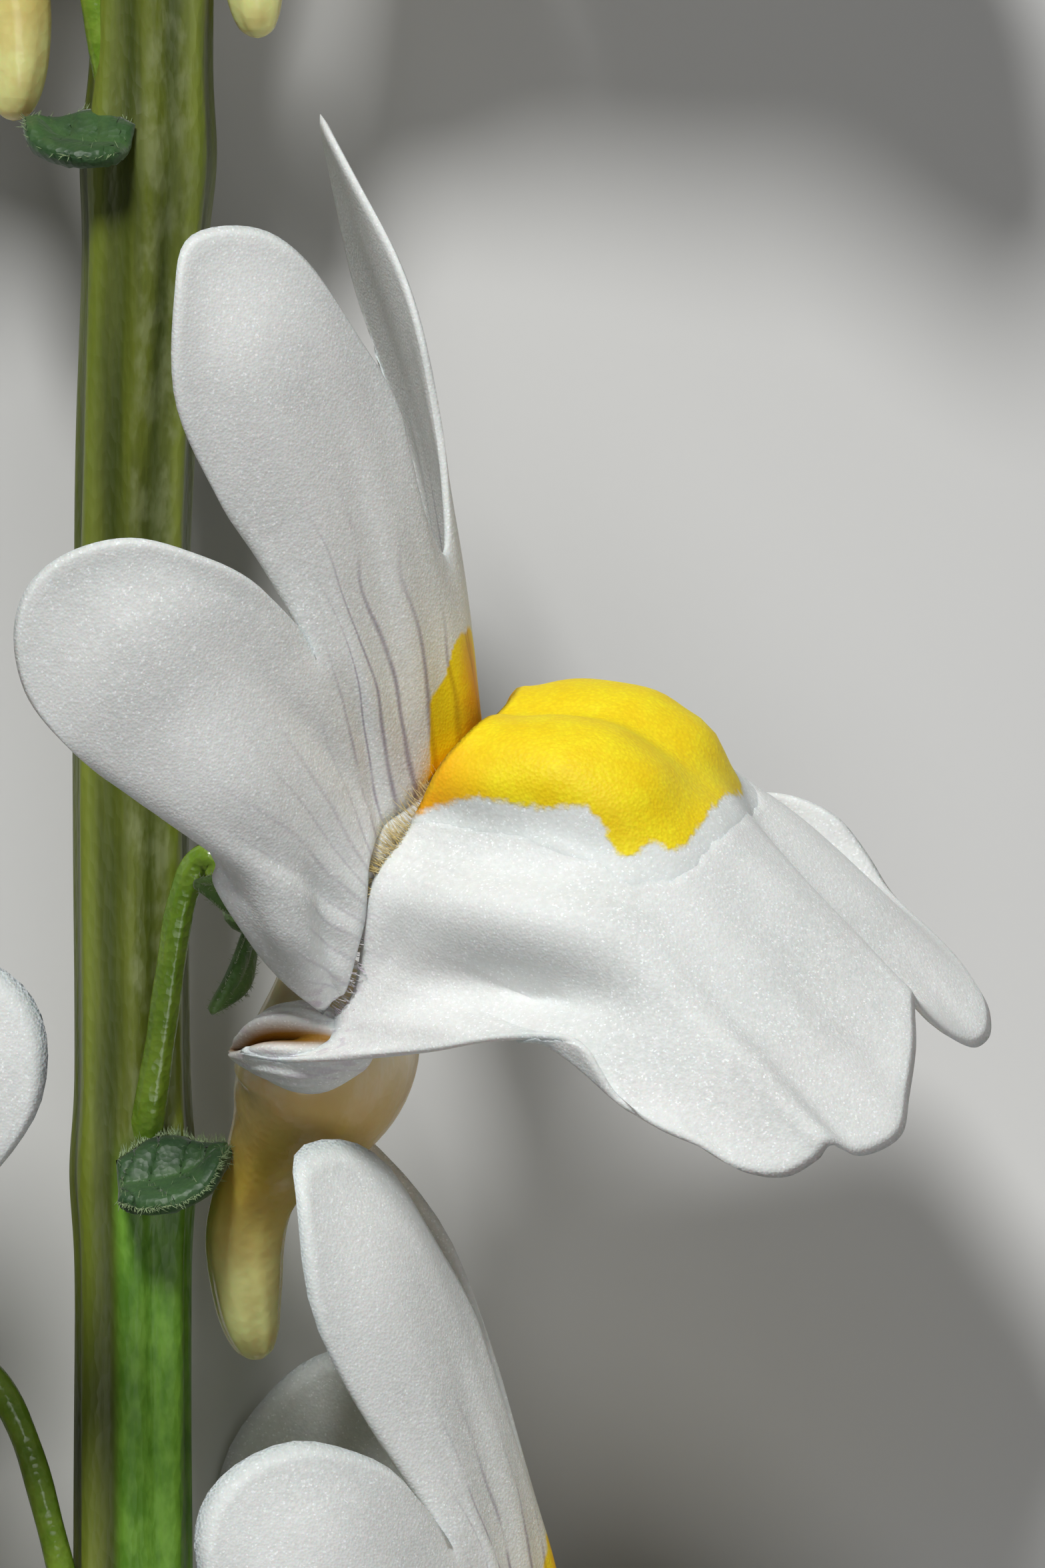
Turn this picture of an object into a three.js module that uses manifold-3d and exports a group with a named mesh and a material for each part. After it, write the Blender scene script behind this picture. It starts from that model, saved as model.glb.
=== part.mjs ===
// A cut stem of white nemesia, lying on a table: a four-angled green stem with toothed leaves, small bracts,
// five open two-lipped blooms with a yellow palate and a spur, five closed buds and a tip of tiny buds.
// Millimetres. +Y runs along the stem to its tip, +Z is up from the table, +X is to the right of the stem.

import * as THREE from "three";
import Module from "manifold-3d";
import { mergeVertices } from "three/addons/utils/BufferGeometryUtils.js";

const wasm = await Module();
wasm.setup();

// Driving dimensions
const sheetThickness = 0.6; // petals and leaves, thicker than life so that they stay sound solids
const seatGap = 0.22; // between pieces of different colour that grow from each other
const stemRadius = 1.22;
const stemHeight = 5.34; // of the stem's axis over the table, along the blooms

// The side view that the bloom's outline was measured in: turned to the viewer and leaning to the viewer
const viewTurn = THREE.MathUtils.degToRad(20);
const viewLean = THREE.MathUtils.degToRad(17);

// A point of the bloom, from where it is seen in that side view, right and up of the bloom's foot, and
// how far it stands to the side of the bloom's middle plane. The bloom's own axes: x forwards, y up, z to
// its side.
function seen(right, up, side) {
  const y = (up + Math.sin(viewLean) * side) / Math.cos(viewLean);
  const swing = Math.sin(viewLean) * Math.sin(viewTurn) * y + Math.cos(viewLean) * Math.sin(viewTurn) * side;
  return new THREE.Vector3((right + swing) / Math.cos(viewTurn), y, side);
}

const sideAxis = new THREE.Vector3(0, 0, 1);
const flat = (x, y) => new THREE.Vector3(x, y, 0);
const smooth = (points) => new THREE.CatmullRomCurve3(points, false, "catmullrom", 0.5);

// Upper lip, one half: from the mouth's corner, round the side lobe, the cleft and the upper lobe, to the
// middle
const upperMargin = [
  [1.15, -1.95, 3.0], [0.15, -1.1, 3.8], [-0.45, -0.3, 4.4], [-0.9, 0.5, 4.7],
  [-0.85, 0.95, 4.7], [-1.2, 1.55, 5.0], [-1.95, 2.15, 5.5], [-2.9, 2.5, 5.9],
  [-3.8, 3.25, 6.2], [-4.4, 4.1, 6.3], [-4.6, 5.2, 6.3], [-4.3, 6.1, 6.2],
  [-3.5, 6.7, 6.0], [-2.35, 6.95, 5.6], [-1.15, 6.65, 5.0], [-0.15, 6.15, 4.3],
  [0.85, 5.2, 3.3], [-0.1, 6.7, 3.7], [-0.9, 7.9, 4.2], [-1.6, 9.55, 4.6],
  [-1.6, 11.45, 4.4], [-1.3, 12.55, 3.8], [-0.15, 12.75, 2.9], [0.8, 12.2, 2.3],
  [1.75, 10.8, 1.5], [2.5, 9.55, 0.95], [2.85, 8.0, 0.75], [3.45, 6.7, 0],
];
const upperMiddle = [
  [1.3, -1.8, 3.05], [0.5, -0.65, 4.2], [0.1, 0.45, 4.7], [-1.0, 1.9, 5.4], [-0.5, 3.45, 5.0],
  [1.0, 3.7, 3.6], [1.2, 5.4, 3.1], [1.1, 7.55, 3.1], [2.75, 6.45, 1.5], [3.8, 5.05, 0],
];
const upperMouth = [
  [1.4, -1.7, 3.0], [1.6, -1.55, 3.1], [1.8, -0.8, 3.1], [1.95, -0.2, 3.0], [2.0, 0.4, 2.9],
  [2.05, 0.95, 2.7], [2.25, 1.45, 2.3], [2.75, 1.95, 1.8], [3.35, 2.7, 1.0], [4.05, 3.4, 0],
];

// Lower lip, one half: from the mouth's corner, along the side, round the front lobe, to the notch in the
// middle
const lowerMargin = [
  [-0.4, -2.7, 3.2], [0.35, -2.85, 3.5], [1.35, -2.8, 3.9], [2.35, -2.7, 4.3], [3.35, -2.6, 4.7],
  [4.35, -2.45, 5.0], [5.35, -2.4, 5.2], [6.05, -2.5, 5.3], [6.4, -2.95, 5.4], [6.75, -3.55, 5.5],
  [7.35, -4.05, 5.6], [8.25, -4.45, 5.6], [9.0, -4.85, 5.5], [9.8, -4.95, 5.2], [10.4, -4.65, 4.8],
  [10.65, -4.4, 4.6], [11.1, -4.6, 4.0], [11.65, -4.45, 3.4], [12.05, -4.1, 2.8], [12.15, -3.45, 1.9],
  [12.25, -2.65, 1.1], [12.25, -1.95, 0.4], [12.3, -1.65, 0],
];
const lowerMiddle = [
  [-0.4, -2.65, 3.2], [0.9, -2.7, 3.4], [2.35, -2.4, 3.9], [3.5, -1.95, 4.3], [4.1, -1.7, 4.4],
  [4.5, -1.4, 4.4], [5.2, -1.05, 4.3], [6.1, -0.7, 4.0], [6.85, -0.2, 3.3], [7.5, 0.45, 2.4],
  [7.85, 1.2, 1.3], [8.1, 1.95, 0],
];
const lowerMouth = [
  [-0.35, -2.6, 3.1], [0.5, -2.55, 2.9], [1.15, -2.25, 2.8], [1.6, -1.7, 2.9], [1.8, -0.95, 2.9],
  [1.95, -0.1, 2.8], [2.15, 0.6, 2.6], [2.5, 1.2, 2.3], [3.0, 1.8, 1.9], [3.5, 2.25, 1.5], [4.0, 2.55, 0.9],
  [4.3, 2.7, 0],
];

// The far half of the upper lip sweeps back less, and its tip stands taller and bends back
function farUpper(p) {
  const tip = THREE.MathUtils.clamp((p.y - 8.5) / 5.5, 0, 1);
  const lobe = THREE.MathUtils.smoothstep(p.y, 6, 9);
  return new THREE.Vector3(p.x + 0.2 * lobe * p.z - 1.1 * tip * tip, p.y + 0.45 * tip, -p.z);
}

// The far half of the lower lip is lifted into a low wing beside the palate
function farLower(p) {
  const lift = 2.5 * Math.exp(-(((p.x - 9.5) / 2.3) ** 2)) * (p.z / 5.6) ** 2;
  return new THREE.Vector3(p.x, p.y + lift, -p.z);
}

// A lip: curves through both halves of the mouth, the middle and the margin, joined by rays across them
function lipPoints(levels, far, along, across) {
  const curves = levels.map((rows) => {
    const near = rows.map((row) => seen(...row));
    return smooth([...near, ...near.slice(0, -1).reverse().map(far)]);
  });
  const rays = Array.from({ length: along + 1 }, (_, i) => smooth(curves.map((c) => c.getPoint(i / along))));
  return rays.map((ray) => Array.from({ length: across + 1 }, (_, j) => ray.getPoint(j / across)));
}

function gridNormal(grid, i, j) {
  const last = grid.length - 1;
  const end = grid[0].length - 1;
  const du = grid[Math.min(i + 1, last)][j].clone().sub(grid[Math.max(i - 1, 0)][j]);
  const dv = grid[i][Math.min(j + 1, end)].clone().sub(grid[i][Math.max(j - 1, 0)]);
  return du.cross(dv).normalize();
}

// A closed body between two grids of points of the same size, split alike on both faces
function between(upper, lower) {
  const rows = upper.length;
  const columns = upper[0].length;
  const positions = [...upper.flat(), ...lower.flat()].flatMap((p) => [p.x, p.y, p.z]);
  const top = (i, j) => i * columns + j;
  const under = (i, j) => rows * columns + i * columns + j;
  const faces = [];
  const wall = (a, b) => faces.push(top(...b), top(...a), under(...a), top(...b), under(...a), under(...b));
  for (let i = 0; i < rows - 1; i++) {
    for (let j = 0; j < columns - 1; j++) {
      faces.push(top(i, j), top(i + 1, j), top(i + 1, j + 1), top(i, j), top(i + 1, j + 1), top(i, j + 1));
      faces.push(under(i, j), under(i + 1, j + 1), under(i + 1, j));
      faces.push(under(i, j), under(i, j + 1), under(i + 1, j + 1));
    }
    wall([i, 0], [i + 1, 0]);
    wall([i + 1, columns - 1], [i, columns - 1]);
  }
  for (let j = 0; j < columns - 1; j++) {
    wall([0, j + 1], [0, j]);
    wall([rows - 1, j], [rows - 1, j + 1]);
  }
  return solid(positions, faces);
}

// A sheet of even thickness round a grid of points
function sheet(grid, thickness) {
  const moved = (amount) =>
    grid.map((row, i) => row.map((p, j) => p.clone().addScaledVector(gridNormal(grid, i, j), amount)));
  return between(moved(thickness / 2), moved(-thickness / 2));
}

// A closed round body: rings of points from one end to the other, each end closed on its middle
function lathe(rings) {
  const sides = rings[0].length;
  const middle = (ring) => ring.reduce((sum, p) => sum.add(p), new THREE.Vector3()).divideScalar(sides);
  const points = [...rings.flat(), middle(rings[0]), middle(rings.at(-1))];
  const positions = points.flatMap((p) => [p.x, p.y, p.z]);
  const first = rings.length * sides;
  const faces = [];
  rings.forEach((_, i) => {
    for (let k = 0; k < sides; k++) {
      const next = (k + 1) % sides;
      const at = i * sides;
      if (i < rings.length - 1) {
        faces.push(at + k, at + next, at + sides + next, at + k, at + sides + next, at + sides + k);
      } else faces.push(at + k, at + next, first + 1);
      if (i === 0) faces.push(next, k, first);
    }
  });
  return solid(positions, faces);
}

// Rings of an oval section along a path: wide is its half width sideways, deep is its half width across that
function ovalRings(path, wide, deep, steps, sides, sideways) {
  return Array.from({ length: steps + 1 }, (_, i) => {
    const t = i / steps;
    const centre = path.getPoint(t);
    const forward = path.getTangent(t);
    const across = sideways.clone().addScaledVector(forward, -sideways.dot(forward)).normalize();
    const up = across.clone().cross(forward);
    return Array.from({ length: sides }, (_, k) => {
      const angle = (2 * Math.PI * k) / sides;
      const point = centre.clone().addScaledVector(across, wide(t) * Math.cos(angle));
      return point.addScaledVector(up, deep(t) * Math.sin(angle));
    });
  });
}

function solid(positions, faces) {
  const geometry = new THREE.BufferGeometry()
    .setAttribute("position", new THREE.Float32BufferAttribute(positions, 3))
    .setIndex(faces);
  const merged = mergeVertices(geometry, 1e-4);
  const mesh = new wasm.Mesh({
    numProp: 3,
    vertProperties: merged.attributes.position.array,
    triVerts: new Uint32Array(merged.index.array),
  });
  const made = new wasm.Manifold(mesh);
  if (made.volume() > 0) return made;
  for (let i = 0; i < mesh.triVerts.length; i += 3) {
    [mesh.triVerts[i + 1], mesh.triVerts[i + 2]] = [mesh.triVerts[i + 2], mesh.triVerts[i + 1]];
  }
  return new wasm.Manifold(mesh);
}

// A curve through numbers spaced evenly from 0 to 1
function profile(values) {
  const curve = smooth(values.map((v) => new THREE.Vector3(v, 0, 0)));
  return (t) => Math.max(curve.getPoint(t).x, 0.02);
}

// Palate: two swollen bosses side by side on the lower lip, closing the mouth
const bossSide = 1.15;
const bossSpine = [[4.1, 2.3], [4.7, 2.75], [5.7, 3.0], [6.8, 2.95], [7.7, 2.5], [8.1, 1.9], [8.15, 1.45]];
const bossDepth = [0.25, 0.62, 0.92, 1.05, 1.12, 0.98, 0.45];
const bossWidth = [0.3, 0.95, 1.35, 1.5, 1.5, 1.3, 0.5];

function bosses(steps, sides) {
  const halves = [1, -1].map((hand) => {
    const path = smooth(bossSpine.map(([x, y]) => new THREE.Vector3(x, y, hand * bossSide)));
    return lathe(ovalRings(path, profile(bossWidth), profile(bossDepth), steps, sides, sideAxis));
  });
  return halves[0].add(halves[1]);
}

// Throat: the wide short tube behind the mouth, grown with both lips
const throatPath = [[0.45, 0], [0.95, 0.25], [1.7, 0.75], [2.6, 1.2], [3.2, 1.2], [3.5, 1.05]];
const throatDepth = [0.45, 1.0, 1.75, 2.35, 2.3, 1.7];
const throatWidth = [0.5, 1.4, 2.4, 2.85, 2.75, 2.1];

// Spur: a funnel from the underside of the throat that narrows to a blunt tip
const spurPath = [
  [0.85, -0.5], [0.95, -1.1], [1.08, -1.8], [1.2, -2.5], [1.15, -3.1], [0.75, -3.85], [0.25, -4.6],
  [-0.15, -5.45], [-0.35, -6.35], [-0.32, -7.3], [-0.2, -8.05], [-0.13, -8.55],
];
const spurDepth = [0.4, 0.65, 1.15, 1.55, 1.6, 1.4, 0.95, 0.77, 0.73, 0.65, 0.5, 0.25];
const spurWidth = [0.4, 1.0, 1.9, 2.6, 2.5, 1.9, 1.25, 0.9, 0.78, 0.66, 0.5, 0.25];

function oval(path, width, depth, steps, sides) {
  return lathe(ovalRings(smooth(path), profile(width), profile(depth), steps, sides, sideAxis));
}

// Keeps the largest solid of a cut
function largest(made) {
  return made.decompose().reduce((best, piece) => (piece.volume() > best.volume() ? piece : best));
}

// The same solid with its skin moved outwards
function grown(made, amount) {
  const mesh = made.getMesh();
  const geometry = new THREE.BufferGeometry()
    .setAttribute("position", new THREE.Float32BufferAttribute(mesh.vertProperties, 3))
    .setIndex([...mesh.triVerts]);
  geometry.computeVertexNormals();
  const normals = geometry.attributes.normal.array;
  const moved = [...mesh.vertProperties].map((v, k) => v + amount * normals[k]);
  return solid(moved, [...mesh.triVerts]);
}

// What is left of a piece after its neighbours and a narrow gap round each of them
function beside(piece, neighbours) {
  const rest = neighbours.reduce((left, other) => left.subtract(grown(other, seatGap)), piece);
  return largest(rest).simplify(0.03);
}

// A leaf blade: an arched rib, a half width along it, a toothed margin and a shallow fold
function blade(shape, along) {
  const { rib, width, sideways, lift, teeth = 0, toothDepth = 0, fold = 0.2, columns = 2 } = shape;
  const path = smooth(rib);
  const half = profile(width);
  const rows = Array.from({ length: along + 1 }, (_, i) => {
    const t = i / along;
    const centre = path.getPoint(t);
    const forward = path.getTangent(t);
    const across = sideways.clone().addScaledVector(forward, -sideways.dot(forward)).normalize();
    const up = lift.clone().addScaledVector(across, -lift.dot(across)).normalize();
    const tooth = teeth ? toothDepth * (((i * teeth) / along) % 1) : 0;
    return Array.from({ length: columns + 1 }, (_, j) => {
      const side = (2 * j) / columns - 1;
      const reach = half(t) * side + (Math.abs(side) === 1 ? side * tooth : 0);
      const point = centre.clone().addScaledVector(across, reach);
      return point.addScaledVector(up, fold * half(t) * side * side);
    });
  });
  return sheet(rows, sheetThickness);
}

// Calyx: a small cup with five pointed sepals round the foot of the bloom
const cupPath = [[-0.5, 0.4], [-0.28, 0.15], [0.15, 0]];
const cupRadius = [0.3, 0.6, 0.5];
const sepalTurns = [0, 62, 122, 238, 298]; // degrees round the foot, from the top
const sepalRib = [[-0.1, 0.4], [-0.1, 0.9], [-0.12, 1.7], [-0.4, 2.6]]; // forwards, outwards
const sepalWidth = [0.15, 0.38, 0.62, 0.12];

function calyx(detail) {
  const cup = oval(cupPath.map(([x, y]) => flat(x, y)), cupRadius, cupRadius, 2, 7);
  return sepalTurns.map((degrees) => {
    const turn = THREE.MathUtils.degToRad(degrees);
    const out = new THREE.Vector3(0, Math.cos(turn), Math.sin(turn));
    const rib = sepalRib.map(([ahead, away]) => out.clone().multiplyScalar(away).setX(ahead));
    const sideways = new THREE.Vector3(0, -Math.sin(turn), Math.cos(turn));
    const lift = new THREE.Vector3(1, 0, 0);
    return blade({ rib, width: sepalWidth, sideways, lift, columns: detail.sepal }, 3);
  }).reduce((sum, sepal) => sum.add(sepal), cup);
}

// Pedicel: arches from the axil over the top and down to the cup
const pedicelPath = [
  [-2.2, -4.05, 0.6], [-1.95, -2.5, 0.45], [-1.75, -1.1, 0.25], [-1.55, 0.1, 0.1], [-1.25, 0.85, 0],
  [-0.95, 0.95, 0], [-0.78, 0.72, 0],
];
const pedicelRadius = 0.28;

// Bract: a small folded leaf in the axil's foot
const bractRib = [[-2.75, -5.3, 1.7], [-2.0, -5.25, 1.45], [-1.2, -5.0, 1.1], [-0.65, -4.5, 0.8]];
const bractWidth = [0.55, 0.95, 0.8, 0.15];
const stemPoint = [-2.5, -4.99]; // where the bloom's middle plane meets the stem's axis

// The pieces of one bloom, each cut clear of the ones it grows from. A longer stalk sets the bloom off by an
// extra reach forwards and rise upwards from the stem.
function bloom(detail, reach = 0, rise = 0) {
  const offset = (p, share) => p.add(flat(-reach * share, -rise * share));
  const upper = lipPoints([upperMouth, upperMiddle, upperMargin], farUpper, detail.upper, detail.across);
  const lower = lipPoints([lowerMouth, lowerMiddle, lowerMargin], farLower, detail.lower, detail.across);
  const throat = oval(throatPath.map(([x, y]) => flat(x, y)), throatWidth, throatDepth, 5, detail.sides);
  const corolla = throat.add(sheet(upper, sheetThickness)).add(sheet(lower, sheetThickness));
  const spurLine = spurPath.map(([right, up]) => seen(right, up, 0));
  const spur = beside(oval(spurLine, spurWidth, spurDepth, detail.spur, detail.sides), [corolla]);
  const coarse = lipPoints([lowerMouth, lowerMiddle, lowerMargin], farLower, 18, 3);
  const shift = (amount) => coarse.map((row) => row.map((p) => p.clone().setY(p.y + amount)));
  const palate = bosses(detail.boss, detail.sides).subtract(between(shift(0.55), shift(-6)));
  const pedicelLine = pedicelPath.map((row, i) => offset(seen(...row), 1 - i / (pedicelPath.length - 1)));
  const stalk = oval(pedicelLine, [pedicelRadius, pedicelRadius], [pedicelRadius, pedicelRadius], 9, 7);
  const leaf = blade({
    rib: bractRib.map((row) => offset(seen(...row), 1)), width: bractWidth,
    sideways: new THREE.Vector3(0, 0.45, -0.9), lift: new THREE.Vector3(0, 1, 0), fold: 0.35,
  }, 4);
  return {
    corolla, palate: beside(palate, [corolla]), spur, calyx: calyx(detail), pedicel: stalk, bract: leaf,
    root: offset(seen(...stemPoint, 0), 1),
  };
}

// Stem: four-angled, arched from its cut end on the table to the tip
const stemPath = smooth([
  [-6.6, -55, 1.1], [-7.0, -48, 1.9], [-7.3, -40, 3.2], [-7.35, -30, 4.6], [-7.35, -20, 5.25],
  [-7.4, -7.35, stemHeight], [-7.4, 4, stemHeight], [-7.1, 12, stemHeight + 0.1],
  [-6.8, 22, stemHeight + 0.2], [-6.9, 32, stemHeight + 0.3], [-7.2, 40, stemHeight + 0.5],
].map((row) => new THREE.Vector3(...row)));
const stemTaper = profile([1.12, 1.08, 1.04, 1.0, 0.97, 0.93, 0.93, 1.0, 0.85, 0.6, 0.3]);
const angled = [1.12, 0.96, 0.96];

function stem(steps) {
  const rings = Array.from({ length: steps + 1 }, (_, i) => {
    const t = i / steps;
    const centre = stemPath.getPoint(t);
    const forward = stemPath.getTangent(t);
    const across = new THREE.Vector3(1, 0, 0).addScaledVector(forward, -forward.x).normalize();
    const up = across.clone().cross(forward);
    return Array.from({ length: 12 }, (_, k) => {
      const angle = (2 * Math.PI * (k + 1.5)) / 12;
      const radius = stemRadius * stemTaper(t) * angled[k % 3];
      const point = centre.clone().addScaledVector(across, radius * Math.cos(angle));
      return point.addScaledVector(up, radius * Math.sin(angle));
    });
  });
  return lathe(rings);
}

function stemAt(y) {
  let t = 0.5;
  for (let step = 0.25; step > 1e-5; step /= 2) t += stemPath.getPoint(t).y < y ? step : -step;
  return stemPath.getPoint(t);
}

// Turns a bloom or bud to face away from the stem: the azimuth round the stem from +X towards +Z, the
// lean of its upright axis to its own side, its pitch backwards, and whether it is the mirror image
function stance(at, { azimuth, lean, size, pitch = 0, mirrored = false }, foot) {
  const a = THREE.MathUtils.degToRad(azimuth);
  const l = THREE.MathUtils.degToRad(lean);
  const forward = new THREE.Vector3(Math.cos(a), 0, Math.sin(a));
  const side = new THREE.Vector3(-Math.sin(a), 0, Math.cos(a));
  const up = new THREE.Vector3(0, Math.cos(l), 0).addScaledVector(side, Math.sin(l));
  const own = new THREE.Vector3().crossVectors(forward, up).multiplyScalar(mirrored ? -1 : 1);
  const matrix = new THREE.Matrix4().makeBasis(forward, up, own);
  matrix.multiply(new THREE.Matrix4().makeRotationZ(THREE.MathUtils.degToRad(pitch)));
  matrix.scale(new THREE.Vector3(size, size, size));
  const place = at.clone().sub(foot.clone().applyMatrix4(matrix));
  return matrix.setPosition(place).elements;
}

const blooms = [
  { name: "main_bloom", height: -7.35, azimuth: 20, lean: 17, size: 1, fine: true },
  {
    name: "upper_left_bloom", height: 11.9, azimuth: 180, lean: -3, size: 0.97, mirrored: true,
    reach: 0.5, rise: 4.4,
  },
  { name: "top_right_bloom", height: 17.6, azimuth: 0, lean: 3, size: 0.93, reach: -0.1 },
  {
    name: "lower_left_bloom", height: -19, azimuth: 175, lean: -4.5, size: 1, mirrored: true,
    reach: 0.9, rise: 2.2,
  },
  {
    name: "lower_right_bloom", height: -25.2, azimuth: 0, lean: 7, size: 0.97, pitch: 11,
    reach: 2.2, rise: -1,
  },
];

// Closed buds: a pale folded corolla with a short spur in a green calyx on a curved stalk
const buds = [
  { name: "bud_1", height: 23, azimuth: 150, size: 1.15 },
  { name: "bud_2", height: 26.5, azimuth: 50, size: 1.05 },
  { name: "bud_3", height: 29.5, azimuth: 190, size: 0.92 },
  { name: "bud_4", height: 31.8, azimuth: -10, size: 0.8 },
  { name: "bud_5", height: 34, azimuth: 100, size: 0.68 },
];

const budSepalWidth = [0.15, 0.4, 0.5, 0.1];

function bud() {
  const line = [[1.1, 3.2], [1.55, 3.6], [2.3, 4.3], [3.0, 5.3], [3.3, 6.2]].map(([x, y]) => flat(x, y));
  const body = oval(line, [0.5, 1.1, 1.35, 1.0, 0.25], [0.4, 0.95, 1.2, 0.95, 0.25], 6, 8);
  const spurLine = [[2.6, 4.1], [2.75, 3.3], [2.65, 2.5], [2.5, 1.8]].map(([x, y]) => flat(x, y));
  const petals = body.add(oval(spurLine, [0.7, 0.45, 0.35, 0.15], [0.7, 0.45, 0.35, 0.15], 3, 6));
  const stalkLine = [[0, 0.3], [0.5, 1.2], [0.75, 2.2], [0.95, 2.95]].map(([x, y]) => flat(x, y));
  const stalk = oval(stalkLine, [0.3, 0.26, 0.34, 0.5], [0.3, 0.26, 0.34, 0.5], 3, 6);
  const axis = new THREE.Vector3(0.7, 0.75, 0).normalize();
  const sepals = Array.from({ length: sepalTurns.length }, (_, k) => {
    const turn = (2 * Math.PI * (k + 0.5)) / sepalTurns.length;
    const out = new THREE.Vector3(Math.cos(turn) * axis.y, -Math.cos(turn) * axis.x, Math.sin(turn));
    const base = flat(0.9, 2.8);
    const at = (ahead, away) => base.clone().addScaledVector(axis, ahead).addScaledVector(out, away);
    const rib = [at(0, 0.35), at(0.25, 1.25), at(1.2, 1.95), at(2.3, 2.05)];
    const sideways = axis.clone().cross(out);
    return blade({ rib, width: budSepalWidth, sideways, lift: out, columns: 1 }, 3);
  });
  return { petals, calyx: sepals.reduce((sum, sepal) => sum.add(sepal), stalk) };
}

// The tip of the raceme: a cluster of tiny green buds grown together
const tipCount = 5;
const tipRadius = [0.3, 0.55, 0.1];

function tip() {
  const top = stemPath.getPoint(1);
  const sideways = new THREE.Vector3(1, 0, 0.2);
  return Array.from({ length: tipCount }, (_, k) => {
    const turn = (2 * Math.PI * k) / (tipCount - 1);
    const spread = k === tipCount - 1 ? 0 : 0.75;
    const out = new THREE.Vector3(Math.cos(turn), 0, Math.sin(turn)).multiplyScalar(spread);
    const foot = top.clone().addScaledVector(out, 0.3).add(flat(0, 0.35));
    const end = top.clone().add(out).add(flat(0, 2.0 - 0.1 * k));
    const line = smooth([foot, foot.clone().lerp(end, 0.5), end]);
    return lathe(ovalRings(line, profile(tipRadius), profile(tipRadius), 3, 5, sideways));
  }).reduce((sum, piece) => sum.add(piece));
}

// A pair of opposite toothed leaves low on the stem
const leafNode = -42;
const leafLength = 17;
const leafWidth = [1.1, 2.1, 2.9, 2.8, 2.0, 1.0, 0.15];

function leaf(hand) {
  const at = stemAt(leafNode);
  const rib = [0.03, 0.25, 0.5, 0.75, 1].map((t) => new THREE.Vector3(
    at.x + hand * (0.9 + leafLength * t * 0.9), at.y + leafLength * (0.42 * t + 0.1 * Math.sin(Math.PI * t)),
    at.z + 1.6 * Math.sin(2.4 * t) - 3.0 * t * t,
  ));
  const lift = new THREE.Vector3(0, 0, 1);
  const sideways = new THREE.Vector3(-0.45 * hand, 0.9, 0).multiplyScalar(hand);
  return blade({ rib, width: leafWidth, sideways, lift, teeth: 6, toothDepth: 0.55, fold: 0.22 }, 24);
}

// Surfaces
const surfaces = {
  stem: [0x6f8030, 0.4], petal: [0xecebf0, 0.5], palate: [0xf2c414, 0.75], spur: [0xd2b65c, 0.4],
  sepal: [0x5f8b38, 0.6], pedicel: [0x84a82e, 0.35], bract: [0x33502a, 0.6], bud: [0xdde2c6, 0.55],
  leaf: [0x4d7c35, 0.55],
};

const parts = [];

function underTable() {
  const geometry = new THREE.BoxGeometry(120, 200, 20).translate(0, 0, -10);
  geometry.deleteAttribute("normal");
  geometry.deleteAttribute("uv");
  const merged = mergeVertices(geometry);
  return solid([...merged.attributes.position.array], [...merged.index.array]);
}

const table = underTable();

// Rests a piece on the table: whatever would sink into it becomes a small flat
function add(name, surface, made) {
  const cut = largest(made.subtract(table).simplify(0.05));
  parts.push({ name, surface, made: cut });
  return cut;
}

const mainStem = stem(26);
add("stem", "stem", mainStem);

const detailFine = { upper: 54, lower: 44, across: 4, sides: 11, spur: 11, boss: 5, sepal: 2 };
const detailPlain = { upper: 27, lower: 22, across: 3, sides: 8, spur: 7, boss: 4, sepal: 1 };

for (const shape of blooms) {
  const pieces = bloom(shape.fine ? detailFine : detailPlain, shape.reach, shape.rise);
  const matrix = stance(stemAt(shape.height), shape, pieces.root);
  const placed = (key) => pieces[key].transform(matrix);
  add(`${shape.name}_corolla`, "petal", placed("corolla"));
  add(`${shape.name}_palate`, "palate", placed("palate"));
  const spur = add(`${shape.name}_spur`, "spur", placed("spur"));
  add(`${shape.name}_calyx`, "sepal", placed("calyx"));
  const stalk = add(`${shape.name}_pedicel`, "pedicel", beside(placed("pedicel"), [mainStem]));
  add(`${shape.name}_bract`, "bract", beside(placed("bract"), [mainStem, stalk, spur]));
}

const budPieces = bud();
for (const shape of buds) {
  const matrix = stance(stemAt(shape.height), { lean: 0, ...shape }, flat(-0.1, 0));
  add(`${shape.name}_petals`, "bud", budPieces.petals.transform(matrix));
  add(`${shape.name}_calyx`, "sepal", beside(budPieces.calyx.transform(matrix), [mainStem]));
}
add("tip_buds", "sepal", beside(tip(), [mainStem]));
for (const [side, hand] of [["left", -1], ["right", 1]]) {
  add(`leaf_${side}`, "leaf", beside(leaf(hand), [mainStem]));
}

const bounds = new THREE.Box3();
for (const { made } of parts) {
  const { min, max } = made.boundingBox();
  bounds.expandByPoint(new THREE.Vector3(...min)).expandByPoint(new THREE.Vector3(...max));
}
const middle = bounds.getCenter(new THREE.Vector3());

const group = new THREE.Group();
for (const { name, surface, made } of parts) {
  const mesh = made.translate([-middle.x, -middle.y, -bounds.min.z]).getMesh();
  const geometry = new THREE.BufferGeometry()
    .setAttribute("position", new THREE.Float32BufferAttribute(mesh.vertProperties, 3))
    .setIndex([...mesh.triVerts]);
  const [color, roughness] = surfaces[surface];
  const material = new THREE.MeshStandardMaterial({ color, roughness, metalness: 0 });
  const node = new THREE.Mesh(geometry, material);
  node.name = name;
  group.add(node);
}

export default group;
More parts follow.
